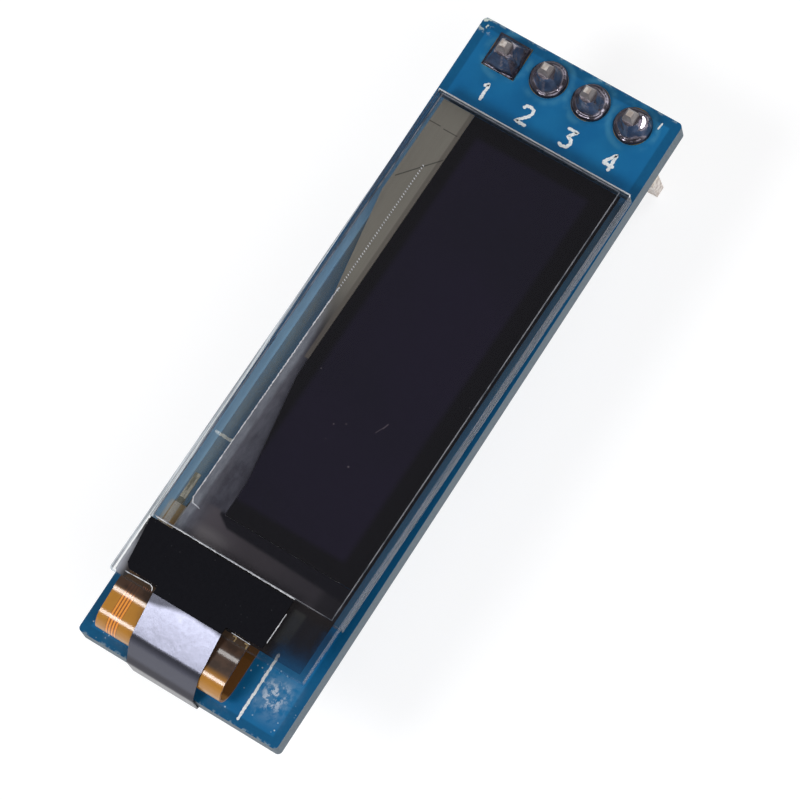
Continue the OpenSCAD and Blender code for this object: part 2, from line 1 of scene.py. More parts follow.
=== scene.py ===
"""The looks of a small OLED module: materials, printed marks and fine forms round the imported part.

Sizes are in millimetres and turned into metres by MM. X runs from the pins to the
flex end, Y across the board and Z up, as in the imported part.
"""
import json
import math
import random
import bmesh
import bpy
from mathutils import Euler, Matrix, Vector

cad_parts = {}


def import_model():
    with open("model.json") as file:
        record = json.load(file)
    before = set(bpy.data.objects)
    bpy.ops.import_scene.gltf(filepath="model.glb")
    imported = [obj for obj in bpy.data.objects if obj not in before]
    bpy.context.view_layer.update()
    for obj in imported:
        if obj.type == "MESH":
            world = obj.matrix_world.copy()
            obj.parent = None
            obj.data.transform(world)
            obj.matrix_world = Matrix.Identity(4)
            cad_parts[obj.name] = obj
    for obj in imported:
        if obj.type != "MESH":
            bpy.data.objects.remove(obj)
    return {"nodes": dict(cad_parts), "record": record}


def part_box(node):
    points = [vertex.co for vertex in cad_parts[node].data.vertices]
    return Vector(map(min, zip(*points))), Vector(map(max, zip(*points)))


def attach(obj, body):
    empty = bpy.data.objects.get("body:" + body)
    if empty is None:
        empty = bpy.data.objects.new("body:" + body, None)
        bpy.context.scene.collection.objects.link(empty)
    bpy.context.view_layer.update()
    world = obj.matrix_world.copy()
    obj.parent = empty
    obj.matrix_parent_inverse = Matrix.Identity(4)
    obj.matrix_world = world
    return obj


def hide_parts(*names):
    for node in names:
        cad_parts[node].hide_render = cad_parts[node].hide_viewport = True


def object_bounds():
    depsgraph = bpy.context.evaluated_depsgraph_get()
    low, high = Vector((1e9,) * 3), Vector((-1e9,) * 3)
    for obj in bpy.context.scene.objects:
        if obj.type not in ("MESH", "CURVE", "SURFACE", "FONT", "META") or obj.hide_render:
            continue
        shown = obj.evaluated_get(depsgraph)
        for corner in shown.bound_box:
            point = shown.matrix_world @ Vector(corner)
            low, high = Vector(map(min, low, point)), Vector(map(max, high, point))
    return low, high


MM = 0.001
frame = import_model()
NODES = frame["nodes"]
cad_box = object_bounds()


def tone(red, green, blue):
    """A display colour of 0 to 255 as the linear colour that shaders take."""
    def linear(c):
        c /= 255
        return c / 12.92 if c <= 0.04045 else ((c + 0.055) / 1.055) ** 2.4
    return (linear(red), linear(green), linear(blue), 1.0)


def node_box(name):
    """Lowest and highest corners of a CAD node, in millimetres."""
    low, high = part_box(name)
    return low / MM, high / MM


# ---- places from the frame

BOARD_LOW, BOARD_HIGH = node_box("circuit_board")
BOARD_TOP = BOARD_HIGH.z
GLASS_LOW, GLASS_HIGH = node_box("front_glass")
TAPE_HIGH = node_box("cover_tape")[1]
FLEX_LOW, FLEX_HIGH = node_box("flex_cable")
SCREEN_LOW, SCREEN_HIGH = node_box("screen_layer")
LEAD_LOW, LEAD_HIGH = node_box("lead_layer")
POLARIZER_LOW, POLARIZER_HIGH = node_box("polarizer")
PIN_COUNT = 4
PIN_NUMBERS = range(1, PIN_COUNT + 1)
PIN_PLACES = [sum(node_box(f"solder_joint_{n}"), Vector()) / 2 for n in PIN_NUMBERS]


def glass_frame():
    """Lower near edge of the front glass and the direction along it."""
    points = [v.co / MM for v in NODES["front_glass"].data.vertices]
    near = min(points, key=lambda p: p.z)
    far = max(points, key=lambda p: p.x)
    along = Vector((far.x - near.x, 0, far.z - near.z))
    return Vector((near.x, 0, near.z)), along.normalized()


GLASS_NEAR, GLASS_ALONG = glass_frame()
GLASS_UP = Vector((-GLASS_ALONG.z, 0, GLASS_ALONG.x))


def on_glass(x, y, lift):
    """A point that lies lift above the underside of the front glass."""
    u = (x - GLASS_NEAR.x) / GLASS_ALONG.x
    return GLASS_NEAR + u * GLASS_ALONG + lift * GLASS_UP + Vector((0, y, 0))


def on_board(x, y, lift):
    """A point that lies lift above the top face of the board."""
    return Vector((x, y, BOARD_TOP + lift))


# ---- shader helpers

WHITE = (1, 1, 1, 1)
FACE_SLOPE = 0.6  # a normal's upright share from which a face counts as flat


class Shade:
    """Builds one procedural material, with its coordinates in millimetres."""

    def __init__(self, name):
        self.material = bpy.data.materials.new(name)
        self.material.use_nodes = True
        self.tree = self.material.node_tree
        self.tree.nodes.clear()
        self.coordinates = self.add("ShaderNodeTexCoord")
        per_mm = (1 / MM, 1 / MM, 1 / MM)
        self.place = self.vector("MULTIPLY", self.coordinates.outputs["Object"], per_mm)
        split = self.add("ShaderNodeSeparateXYZ", {0: self.place})
        self.x, self.y, self.z = split.outputs

    def add(self, kind, values=None, **settings):
        made = self.tree.nodes.new(kind)
        for key, value in settings.items():
            setattr(made, key, value)
        for socket, value in (values or {}).items():
            self.feed(made.inputs[socket], value)
        return made

    def feed(self, socket, value):
        if isinstance(value, bpy.types.NodeSocket):
            self.tree.links.new(value, socket)
        else:
            socket.default_value = value

    def math(self, operation, a, b=0.0, c=0.0):
        return self.add("ShaderNodeMath", {0: a, 1: b, 2: c}, operation=operation).outputs[0]

    def vector(self, operation, a, b):
        return self.add("ShaderNodeVectorMath", {0: a, 1: b}, operation=operation).outputs[0]

    def both(self, a, *others):
        for b in others:
            a = self.math("MULTIPLY", a, b)
        return a

    def either(self, a, *others):
        for b in others:
            a = self.math("MAXIMUM", a, b)
        return a

    def plus(self, a, b):
        return self.math("ADD", a, b)

    def minus(self, a, b):
        return self.math("SUBTRACT", a, b)

    def without(self, a):
        return self.minus(1.0, a)

    def over(self, value, edge, soft=0.02):
        """1 where value is over edge, 0 where it is under, smooth between."""
        values = {"Value": value, "From Min": edge - soft, "From Max": edge + soft}
        made = self.add("ShaderNodeMapRange", values, interpolation_type="SMOOTHSTEP")
        return made.outputs[0]

    def under(self, value, edge, soft=0.02):
        return self.without(self.over(value, edge, soft))

    def band(self, value, low, high, soft=0.02):
        """1 between low and high."""
        return self.both(self.over(value, low, soft), self.under(value, high, soft))

    def patch(self, x0, x1, y0, y1, soft=0.02):
        """1 inside a rectangle seen from above."""
        return self.both(self.band(self.x, x0, x1, soft), self.band(self.y, y0, y1, soft))

    def line(self, start, end, width, soft=0.02):
        """1 on a straight line from start to end, seen from above."""
        dx, dy = end[0] - start[0], end[1] - start[1]
        length = math.hypot(dx, dy)
        rx = self.minus(self.x, start[0])
        ry = self.minus(self.y, start[1])
        ahead = self.plus(self.both(rx, dx / length), self.both(ry, dy / length))
        aside = self.minus(self.both(ry, dx / length), self.both(rx, dy / length))
        within = self.band(ahead, 0, length, soft)
        return self.both(within, self.band(aside, -width / 2, width / 2, soft))

    def lines(self, strokes):
        """1 on any of some straight lines, each given as start, end and width."""
        return self.either(*[self.line(*stroke) for stroke in strokes])

    def noise(self, scale, detail=3.0, roughness=0.5, stretch=(1, 1, 1), warp=0.0):
        """Noise with about scale features a millimetre, round 0.5."""
        values = {
            "Vector": self.vector("MULTIPLY", self.place, stretch),
            "Scale": scale, "Detail": detail, "Roughness": roughness, "Distortion": warp,
        }
        return self.add("ShaderNodeTexNoise", values).outputs[0]

    def grains(self, scale):
        """Random cells, as the distance to each one's middle."""
        made = self.add("ShaderNodeTexVoronoi", {"Vector": self.place, "Scale": scale})
        return made.outputs["Distance"]

    def mix(self, share, a, b):
        made = self.add("ShaderNodeMix", data_type="RGBA")
        for socket, value in ((0, share), (6, a), (7, b)):
            self.feed(made.inputs[socket], value)
        return made.outputs[2]

    def fade(self, share, low, high):
        """A number that goes from low to high as share goes from 0 to 1."""
        values = {"Value": share, "To Min": low, "To Max": high}
        return self.add("ShaderNodeMapRange", values).outputs[0]

    def bump(self, height, depth):
        """A normal from a height of 0 to 1 that stands for depth millimetres."""
        values = {"Height": height, "Distance": depth * MM, "Strength": 1.0}
        return self.add("ShaderNodeBump", values).outputs[0]

    def outer_top(self):
        """1 on the outer side of faces that look up, out of the board."""
        geometry = self.add("ShaderNodeNewGeometry")
        height = self.add("ShaderNodeSeparateXYZ", {0: geometry.outputs["True Normal"]}).outputs[2]
        outer = self.without(geometry.outputs["Backfacing"])
        return self.both(self.over(height, FACE_SLOPE, 0.05), outer)

    def panel_height(self):
        """Height above the underside of the front glass, square to the panel."""
        ahead = self.both(self.minus(self.x, GLASS_NEAR.x), GLASS_UP.x)
        above = self.both(self.minus(self.z, GLASS_NEAR.z), GLASS_UP.z)
        return self.plus(ahead, above)

    def ring(self, middle, low, high, soft=0.05):
        """1 at a distance between low and high from a point, seen from above."""
        rx = self.minus(self.x, middle.x)
        ry = self.minus(self.y, middle.y)
        reach = self.math("SQRT", self.plus(self.both(rx, rx), self.both(ry, ry)))
        return self.band(reach, low, high, soft)

    def flatness(self):
        """How much a face looks up or down: 1 on flat faces, 0 on sides."""
        normal = self.add("ShaderNodeNewGeometry").outputs["True Normal"]
        height = self.add("ShaderNodeSeparateXYZ", {0: normal}).outputs[2]
        return self.over(self.math("ABSOLUTE", height), FACE_SLOPE, 0.05)

    def surface(self, colour, roughness, normal=None, **sockets):
        """The main shader. Its other sockets are given by name with _ for a space."""
        values = {"Base Color": colour, "Roughness": roughness}
        values.update({key.replace("_", " "): value for key, value in sockets.items()})
        made = self.add("ShaderNodeBsdfPrincipled", values)
        if normal:
            self.feed(made.inputs["Normal"], normal)
        return made.outputs[0]

    def clear(self, tint):
        return self.add("ShaderNodeBsdfTransparent", {0: tint}).outputs[0]

    def mirror(self, roughness):
        values = {"Color": WHITE, "Roughness": roughness}
        return self.add("ShaderNodeBsdfAnisotropic", values).outputs[0]

    def fresnel(self, index):
        return self.add("ShaderNodeFresnel", {"IOR": index}).outputs[0]

    def blend(self, share, a, b):
        made = self.add("ShaderNodeMixShader", {0: share})
        self.tree.links.new(a, made.inputs[1])
        self.tree.links.new(b, made.inputs[2])
        return made.outputs[0]

    def done(self, shader):
        output = self.add("ShaderNodeOutputMaterial")
        self.tree.links.new(shader, output.inputs["Surface"])
        return self.material


# ---- materials: board and header

POUR_INSET = 0.5  # from the board's edge to the copper under the lacquer
HALO_IN = 1.12  # ring of flux round each pin
HALO_OUT = 1.42
HAZE_Y = (3.5, 5.4)  # reach of the residue beside the flex, across the board
CRUST_Y = (3.8, 5.0)


def lacquer(s):
    """Plain blue lacquer, darker at the border where there is no copper under it."""
    low, high = BOARD_LOW, BOARD_HIGH
    inset = POUR_INSET
    pour = s.patch(low.x + inset, high.x - inset, low.y + inset, high.y - inset, 0.06)
    cloud = s.noise(0.35, 3.0, 0.55)
    mottle = s.noise(5.0, 4.0, 0.6)
    blue = s.mix(s.over(cloud, 0.5, 0.2), tone(14, 100, 152), tone(24, 112, 162))
    blue = s.mix(s.fade(mottle, 0.0, 0.2), blue, tone(10, 84, 134))
    border = s.mix(mottle, tone(6, 78, 122), tone(16, 94, 136))
    return s.mix(pour, border, blue)


def flux_halos(s, colour):
    """Faint rings of flux round the pins."""
    for place in PIN_PLACES:
        halo = s.both(s.ring(place, HALO_IN, HALO_OUT, 0.12), s.over(s.noise(0.8), 0.5, 0.12))
        colour = s.mix(s.both(halo, 0.5), colour, tone(70, 142, 176))
    return colour


def dust_specks(s, colour):
    """Specks of dust towards the flex end."""
    low, high = BOARD_LOW, BOARD_HIGH
    far = s.patch(high.x - 3.6, high.x - 0.2, low.y + 0.1, high.y - 0.1, 0.4)
    dust = s.both(s.under(s.grains(3.4), 0.13, 0.05), s.over(s.noise(0.9), 0.5, 0.05))
    return s.mix(s.both(far, dust, 0.85), colour, tone(190, 208, 216))


def residue_masks(s):
    """Masks of the haze and of the dried crust beside the flex."""
    far = BOARD_HIGH.x
    cloudy = s.over(s.noise(1.3, 7.0, 0.68, (1, 1, 1), 0.4), 0.49, 0.09)
    haze = s.both(s.patch(far - 3.4, far - 1.0, *HAZE_Y, 0.5), cloudy)
    clotted = s.over(s.noise(2.4, 7.0, 0.7), 0.54, 0.05)
    crust = s.both(s.patch(far - 2.9, far - 1.6, *CRUST_Y, 0.4), clotted)
    return haze, crust


def worn_rims(s, colour):
    """A worn corner, and ends where the lacquer is frayed."""
    low, high = BOARD_LOW, BOARD_HIGH
    corner = s.patch(low.x - 0.1, low.x + 0.7, low.y - 0.1, low.y + 0.7, 0.25)
    worn = s.both(corner, s.over(s.noise(3.6), 0.55, 0.02))
    colour = s.mix(worn, colour, tone(205, 214, 206))
    near_rim = s.under(s.x, low.x + 0.1, 0.05)
    rim = s.either(near_rim, s.over(s.x, high.x - 0.1, 0.05))
    frayed = s.both(rim, s.over(s.noise(2.6, 5.0, 0.7), 0.56, 0.04))
    return s.mix(s.both(frayed, 0.45), colour, tone(170, 188, 190))


def solder_mask():
    """Lacquer on both faces, with its marks on the top one only, and bare laminate on the sides."""
    s = Shade("solder_mask")
    plain = lacquer(s)
    haze, crust = residue_masks(s)
    top = dust_specks(s, flux_halos(s, plain))
    top = s.mix(s.both(haze, 0.4), top, tone(110, 150, 182))
    top = s.mix(s.both(crust, 0.9), top, tone(192, 204, 218))
    top = worn_rims(s, top)
    front = s.over(s.z, BOARD_TOP - 0.1, 0.05)

    layers = s.noise(1.0, 3.0, 0.6, (1.2, 1.2, 14.0))
    side = s.mix(layers, tone(64, 92, 106), tone(126, 132, 138))
    flat = s.flatness()
    colour = s.mix(flat, side, s.mix(front, plain, top))
    residue = s.both(s.either(haze, crust), front)
    roughness = s.mix(flat, s.fade(layers, 0.5, 0.75), s.fade(residue, 0.3, 0.6))
    weave = s.noise(2.2, 2.0, 0.5)
    return s.done(s.surface(colour, roughness, s.bump(weave, 0.003), Specular_IOR_Level=0.4))


def pin_metal():
    """Pale plating, scuffed and tinned towards the ends."""
    s = Shade("pin_metal")
    blotch = s.noise(3.5, 4.0, 0.6)
    ends = s.either(s.over(s.z, BOARD_TOP + 1.0, 0.3), s.under(s.z, -3.4, 1.0))
    gold = s.mix(blotch, tone(204, 182, 138), tone(226, 210, 172))
    tin = s.mix(s.over(blotch, 0.5, 0.12), tone(196, 182, 172), tone(238, 230, 222))
    drawn = s.noise(6.0, 3.0, 0.5, (3.0, 3.0, 0.4))
    colour = s.mix(ends, gold, tin)
    wetted = s.both(s.without(s.flatness()), s.over(s.z, BOARD_TOP, 0.1))
    colour = s.mix(s.both(wetted, 0.8), colour, tone(112, 106, 108))
    roughness = s.fade(blotch, 0.35, 0.55)
    return s.done(s.surface(colour, roughness, s.bump(drawn, 0.006), Metallic=0.5))


def solder():
    """Solder that mirrors its surroundings, with patches of flux, and a dark band round the foot
    that is partly flux and partly painted shade dimming the rim's reflection.
    """
    s = Shade("solder")
    skin = s.noise(2.2, 4.0, 0.55, warp=0.6)
    flux = s.over(s.noise(1.2, 3.0, 0.5), 0.48, 0.15)
    colour = s.mix(skin, tone(118, 114, 128), tone(188, 180, 188))
    colour = s.mix(s.both(flux, 0.7), colour, tone(88, 82, 92))
    # painted shade: the foot is darkened, partly as flux and partly to dim the reflection the rim
    # would give
    foot = s.under(s.z, BOARD_TOP + 0.24, 0.08)
    colour = s.mix(s.both(foot, 0.85), colour, tone(36, 34, 46))
    return s.done(s.surface(colour, s.fade(skin, 0.09, 0.2), s.bump(skin, 0.045), Metallic=0.85))


def tinned_land():
    s = Shade("tinned_land")
    blotch = s.noise(3.0, 5.0, 0.65, (0.35, 1.6, 1.0))
    colour = s.mix(s.over(blotch, 0.5, 0.1), tone(104, 96, 84), tone(232, 224, 210))
    return s.done(s.surface(colour, s.fade(blotch, 0.3, 0.45), s.bump(blotch, 0.02), Metallic=0.6))


# ---- materials: panel

GLASS_IOR = 1.5
HAZE_LINE = 0.34  # from the -Y edge to the bright line in the haze under the ledge
HAZE_LINE_W = 0.06


def bare_pane(s):
    """Clear glass, which mirrors only where no film covers it."""
    low, high = POLARIZER_LOW, POLARIZER_HIGH
    covered = s.patch(low.x, high.x, low.y, high.y, 0.01)
    bare = s.both(s.outer_top(), s.without(covered))
    shine = s.both(s.fresnel(GLASS_IOR), bare)
    return s.blend(shine, s.clear((0.985, 0.99, 0.99, 1)), s.mirror(0.03))


def low_haze(s, pane, height, flow):
    """Milky glue on the lowest face, densest along the -Y edge, with a bright line in it."""
    edge = GLASS_LOW.y
    milk = s.mix(flow, tone(112, 112, 98), tone(146, 146, 130))
    milk = s.mix(s.under(s.y, edge + 0.45, 0.02), milk, tone(160, 188, 204))
    haze = s.surface(milk, 0.6, Specular_IOR_Level=0.0)
    near_side = s.under(s.y, edge + 0.95, 0.3)
    lowest = s.under(height, -0.3, 0.1)
    share = s.both(lowest, s.fade(s.both(s.either(near_side, 0.3), flow), 0.22, 0.75))
    line = s.band(s.y, edge + HAZE_LINE, edge + HAZE_LINE + HAZE_LINE_W, 0.03)
    share = s.either(share, s.both(lowest, s.both(line, 0.6)))
    return s.blend(share, pane, haze)


def painted_ledge_shade(s, pane, flow):
    """Painted shade: a dark sheet over the bare ledge beside the tape, where the board under it lies
    in shadow, thinner towards its end.
    """
    bare_ledge = s.over(s.x, POLARIZER_HIGH.x + 0.5, 0.4)
    shade = s.both(bare_ledge, s.over(s.y, TAPE_HIGH.y + 0.3, 0.3))
    # painted shade: a dark tone laid over the glass where the board below is in shadow
    ledge_shade_tone = s.mix(flow, tone(26, 25, 28), tone(40, 46, 58))
    dim = s.surface(ledge_shade_tone, 0.6, Specular_IOR_Level=0.0)
    clearing = s.under(s.x, GLASS_HIGH.x - 0.3, 0.9)
    dense = s.both(s.fade(flow, 0.3, 0.7), s.fade(clearing, 0.3, 0.9))
    return s.blend(s.both(shade, s.outer_top(), dense), pane, dim)


def cut_sides(s, height):
    """Rough sides with long streaks, and a painted white highlight along the near end of the upper
    pane.
    """
    streaks = s.noise(1.0, 5.0, 0.65, (0.5, 0.5, 9.0))
    chips = s.over(s.noise(2.3, 5.0, 0.7, (0.1, 1.0, 1.8)), 0.5, 0.12)
    upper = s.over(height, 0.3, 0.03)
    near_end = s.under(s.x, GLASS_LOW.x + 0.12, 0.04)
    far_end = s.over(s.x, GLASS_HIGH.x - 0.12, 0.04)
    frost_and_highlight = s.mix(streaks, tone(62, 78, 98), tone(138, 136, 144))
    # painted highlight: the near end of the upper pane is white, the lower pane's is darker
    frost_and_highlight = s.mix(near_end, frost_and_highlight, s.mix(upper, tone(58, 68, 78), tone(252, 254, 255)))
    cut = s.surface(frost_and_highlight, s.fade(chips, 0.25, 0.5), s.bump(streaks, 0.01))
    solid = s.either(s.fade(chips, 0.25, 0.75), near_end)
    solid = s.both(solid, s.without(s.both(far_end, 0.65)))
    return s.blend(solid, s.clear((0.85, 0.9, 0.94, 1)), cut)


def clear_glass():
    """Clear panes with rough pale sides and a painted highlight at the near end, some haze on the
    lowest face, and painted shade over the bare ledge.
    """
    s = Shade("clear_glass")
    height = s.panel_height()
    flow = s.noise(0.6, 4.0, 0.6, (0.4, 1.6, 1.0))
    pane = low_haze(s, bare_pane(s), height, flow)
    pane = painted_ledge_shade(s, pane, flow)
    return s.done(s.blend(s.flatness(), cut_sides(s, height), pane))


def polarizer_film():
    """Grey film, glossy on top, with a painted pale highlight along its cut edge."""
    s = Shade("polarizer_film")
    smear = s.noise(0.8, 4.0, 0.6)
    top = s.outer_top()
    gloss = s.mirror(s.fade(smear, 0.02, 0.07))
    pane = s.blend(s.both(s.fresnel(GLASS_IOR), top), s.clear((0.96, 0.96, 0.97, 1)), gloss)
    # painted highlight: a pale tone on the cut edge
    edge_highlight_tone = s.mix(s.over(smear, 0.45, 0.1), tone(90, 98, 108), tone(190, 190, 196))
    rim = s.blend(0.6, s.clear((0.9, 0.92, 0.94, 1)), s.surface(edge_highlight_tone, 0.4))
    return s.done(s.blend(s.flatness(), rim, pane))


def seal_glue():
    """Cured glue between the panes, yellowish and milky along its edge."""
    s = Shade("seal_glue")
    flow = s.noise(0.9, 4.0, 0.6)
    edge = s.surface(s.mix(flow, tone(120, 120, 108), tone(160, 162, 152)), 0.4)
    return s.done(s.blend(0.6, s.clear((0.92, 0.94, 0.9, 1)), edge))


def ledge_glue():
    """Milky glue under the bare side of the ledge, pale along the -Y edge, where the pale band is
    also a painted highlight of the glass edge, and darker towards the tape.
    """
    s = Shade("ledge_glue")
    flow = s.noise(1.2, 5.0, 0.6, (0.5, 1.5, 1.0))
    across = s.plus(s.y, s.both(flow, 0.2))
    inward = s.over(across, GLASS_LOW.y + 0.5, 0.28)
    # partly painted highlight: the pale band along the -Y edge
    colour = s.mix(inward, tone(196, 196, 204), tone(62, 57, 56))
    colour = s.mix(s.under(s.x, POLARIZER_HIGH.x + 1.2, 0.9), colour, tone(84, 80, 78))
    body = s.surface(colour, 0.5, Specular_IOR_Level=0.2)
    return s.done(s.blend(s.fade(inward, 0.7, 0.95), s.clear((0.95, 0.96, 0.97, 1)), body))


LIT_NEAR = 1.0  # from the dark area's ends to the light-emitting area
LIT_LOW = 0.75  # the same on the -Y side
LIT_HIGH = 1.3
SCRATCHES = (((20.72, 1.81), (20.14, 2.09), 0.03), ((20.35, 2.02), (20.0, 2.13), 0.05))
DOT_PLACE = Vector((22.91, 1.64))
DOT_RADIUS = 0.05


def screen_marks(s):
    """Mask of small specks, a short scratch and a dot."""
    specks = s.both(s.under(s.grains(0.9), 0.035, 0.01), s.over(s.noise(0.5), 0.5, 0.05))
    dot = s.ring(DOT_PLACE, -1.0, DOT_RADIUS, 0.02)
    return s.either(specks, s.lines(SCRATCHES), dot)


def screen_film():
    """The light-emitting area: almost black, with a violet cast inside a darker frame."""
    s = Shade("screen_film")
    cloud = s.noise(0.14, 3.0, 0.5)
    low, high = SCREEN_LOW, SCREEN_HIGH
    lit = s.patch(low.x + LIT_NEAR, high.x - LIT_NEAR,
                  low.y + LIT_LOW, high.y - LIT_HIGH, 0.2)
    violet = s.mix(s.over(cloud, 0.5, 0.25), tone(28, 26, 37), tone(31, 27, 41))
    colour = s.mix(lit, tone(22, 21, 25), violet)
    colour = s.mix(s.both(screen_marks(s), 0.55), colour, tone(110, 100, 106))
    return s.done(s.surface(colour, s.fade(cloud, 0.35, 0.5), Specular_IOR_Level=0.0))


TAN_LEN = 12.4  # of the tan leads, from the film's pin end
FINE_EDGE_Y = -3.2  # between the leads on the -Y side and the screen
FAN_X = 22.0  # where the dark fan crosses the leads
FAN_SLOPE = 0.16
LEDGE_X = POLARIZER_HIGH.x - 0.05
SCRIBES = (
    ((5.15, -5.2), (5.15, -4.45), 0.05),
    ((5.2, -4.25), (5.2, -3.4), 0.05),
    ((6.65, -3.3), (8.6, -4.97), 0.06),
)


def grey_leads(s, cloud):
    """Grey leads beside the screen, darker towards it, with a dark fan at their end."""
    inner = s.mix(s.over(s.y, -3.3, 0.25), tone(82, 81, 88), tone(62, 61, 69))
    grey = s.mix(s.over(s.y, -3.68, 0.14), tone(124, 127, 134), inner)
    grey = s.mix(s.both(s.over(cloud, 0.5, 0.14), 0.4), grey, tone(96, 97, 106))
    blots = s.over(s.noise(2.4, 6.0, 0.7, (0.5, 1.6, 1.0)), 0.5, 0.12)
    grey = s.mix(s.both(blots, 0.3), grey, tone(48, 47, 54))
    slant = s.minus(s.y, s.both(s.minus(s.x, FAN_X), FAN_SLOPE))
    return s.mix(s.both(s.over(slant, -3.02, 0.26), 0.9), grey, tone(36, 35, 42))


def end_margin(s, cloud):
    """The brown margin between the screen and the ledge, dark next to the screen."""
    margin = s.mix(s.over(s.y, -1.6, 1.8), tone(80, 75, 80), tone(57, 53, 57))
    margin = s.mix(s.over(s.y, 2.0, 1.6), margin, tone(47, 44, 49))
    margin = s.mix(s.over(s.y, 4.2, 0.3), margin, tone(26, 25, 31))
    corner = s.both(s.over(s.x, POLARIZER_HIGH.x - 0.9, 0.3), s.under(s.y, -1.6, 0.9))
    margin = s.mix(corner, margin, tone(98, 94, 96))
    margin = s.mix(s.fade(cloud, 0.0, 0.25), margin, tone(66, 62, 64))
    along = s.both(s.math("MAXIMUM", s.plus(s.y, 2.8), 0.0), 0.6)
    rise = s.plus(s.math("MINIMUM", along, 0.62), s.both(s.y, 0.03))
    dark_end = s.under(s.minus(s.x, rise), SCREEN_HIGH.x, 0.12)
    return s.mix(s.both(dark_end, s.over(s.y, -2.5, 0.1)), margin, tone(24, 23, 29))


def dark_ledge(s, cloud):
    """The dark ledge, with a paler patch beside the tape."""
    dark = s.mix(cloud, tone(26, 23, 24), tone(36, 32, 33))
    beside = s.patch(LEDGE_X + 0.4, LEDGE_X + 2.3, TAPE_HIGH.y + 0.1, TAPE_HIGH.y + 0.8, 0.1)
    return s.mix(beside, dark, tone(52, 51, 48))


def lead_fading(s, cloud):
    """Where the film thins out: at its ragged far end and along its side."""
    ragged = s.plus(s.x, s.both(s.noise(0.8, 4.0, 0.6), 1.2))
    past_tape = s.over(s.y, TAPE_HIGH.y + 0.3, 0.3)
    fading = s.both(s.over(ragged, LEAD_HIGH.x - 0.5, 1.0), past_tape, 0.92)
    side = s.over(s.plus(s.y, s.both(cloud, 0.4)), LEAD_HIGH.y, 0.3)
    return s.either(fading, s.both(side, s.over(s.x, LEDGE_X + 0.5, 0.3), 0.8))


def lead_film():
    """Metal leads under the glass: tan near the pins, then grey, and dark on the ledge."""
    s = Shade("lead_film")
    tan_end = LEAD_LOW.x + TAN_LEN
    fine = s.noise(3.0, 4.0, 0.6, (0.15, 2.5, 1.0))
    cloud = s.noise(0.8, 4.0, 0.6)
    tan = s.mix(fine, tone(112, 108, 99), tone(124, 120, 111))
    colour = s.mix(s.over(s.x, tan_end, 2.4), tan, grey_leads(s, cloud))
    edge = s.both(s.patch(LEAD_LOW.x - 1, tan_end + 3, -3.5, FINE_EDGE_Y, 0.05), 0.8)
    colour = s.mix(edge, colour, tone(92, 86, 80))
    past = s.both(s.over(s.x, SCREEN_HIGH.x - 0.1, 0.15), s.over(s.y, FINE_EDGE_Y, 0.5))
    colour = s.mix(past, colour, end_margin(s, cloud))
    colour = s.mix(s.both(s.lines(SCRIBES), 0.75), colour, tone(44, 42, 40))
    colour = s.mix(s.over(s.x, LEDGE_X, 0.03), colour, dark_ledge(s, cloud))
    body = s.surface(colour, 0.45, Specular_IOR_Level=0.0)
    return s.done(s.blend(lead_fading(s, cloud), body, s.clear((0.8, 0.82, 0.86, 1))))


def foam():
    s = Shade("foam")
    cells = s.grains(5.0)
    colour = s.mix(cells, tone(16, 16, 17), tone(40, 40, 42))
    return s.done(s.surface(colour, 0.9, s.bump(cells, 0.05)))


# ---- materials: flex and tape

TRACE_PITCH = 0.165  # between the copper tracks that show on the flex
TRACE_FIRST = -4.36  # place of the first one across the board
TRACE_COUNT = 4
CONTACT_PITCH = 0.62  # between the soldered contacts of the tail
CONTACT_W = 0.34
TAPE_IOR = 1.62
COAT_IOR = 1.6


def copper_tracks(s, film):
    """Copper tracks that show through the film."""
    row = s.math("DIVIDE", s.minus(s.y, TRACE_FIRST), TRACE_PITCH)
    wave = s.math("PINGPONG", row, 0.5)
    inside = s.band(s.y, TRACE_FIRST, TRACE_FIRST + TRACE_COUNT * TRACE_PITCH, 0.01)
    colour = s.mix(inside, film, tone(140, 74, 8))
    return s.mix(s.both(inside, s.over(wave, 0.2, 0.06)), colour, tone(238, 150, 46))


def dark_dips(s):
    """Mask of the dark brown parts of the fold."""
    top = s.over(s.z, BOARD_TOP + 1.35, 0.2)
    low, far = FLEX_LOW, FLEX_HIGH.x
    dense = s.both(s.over(s.y, 0.9, 0.05), s.under(s.x, far - 0.95, 0.25))
    dip = s.both(s.over(s.y, low.y + 0.62, 0.04), s.under(s.x, far - 2.1, 0.12))
    return s.both(s.either(dense, dip), top)


def tail_contacts(s, colour):
    """Tinned bars over the soldered contacts of the tail."""
    first = node_box("flex_lands")[0].y + CONTACT_W / 2
    bar = s.math("PINGPONG", s.minus(s.y, first), CONTACT_PITCH / 2)
    tail = s.under(s.x, FLEX_LOW.x + 1.5, 0.2)
    bar = s.both(s.under(bar, CONTACT_W / 2, 0.03), tail)
    streaks = s.noise(2.5, 4.0, 0.6, (0.6, 1.5, 1.0))
    return s.mix(bar, colour, s.mix(streaks, tone(150, 140, 136), tone(220, 210, 204)))


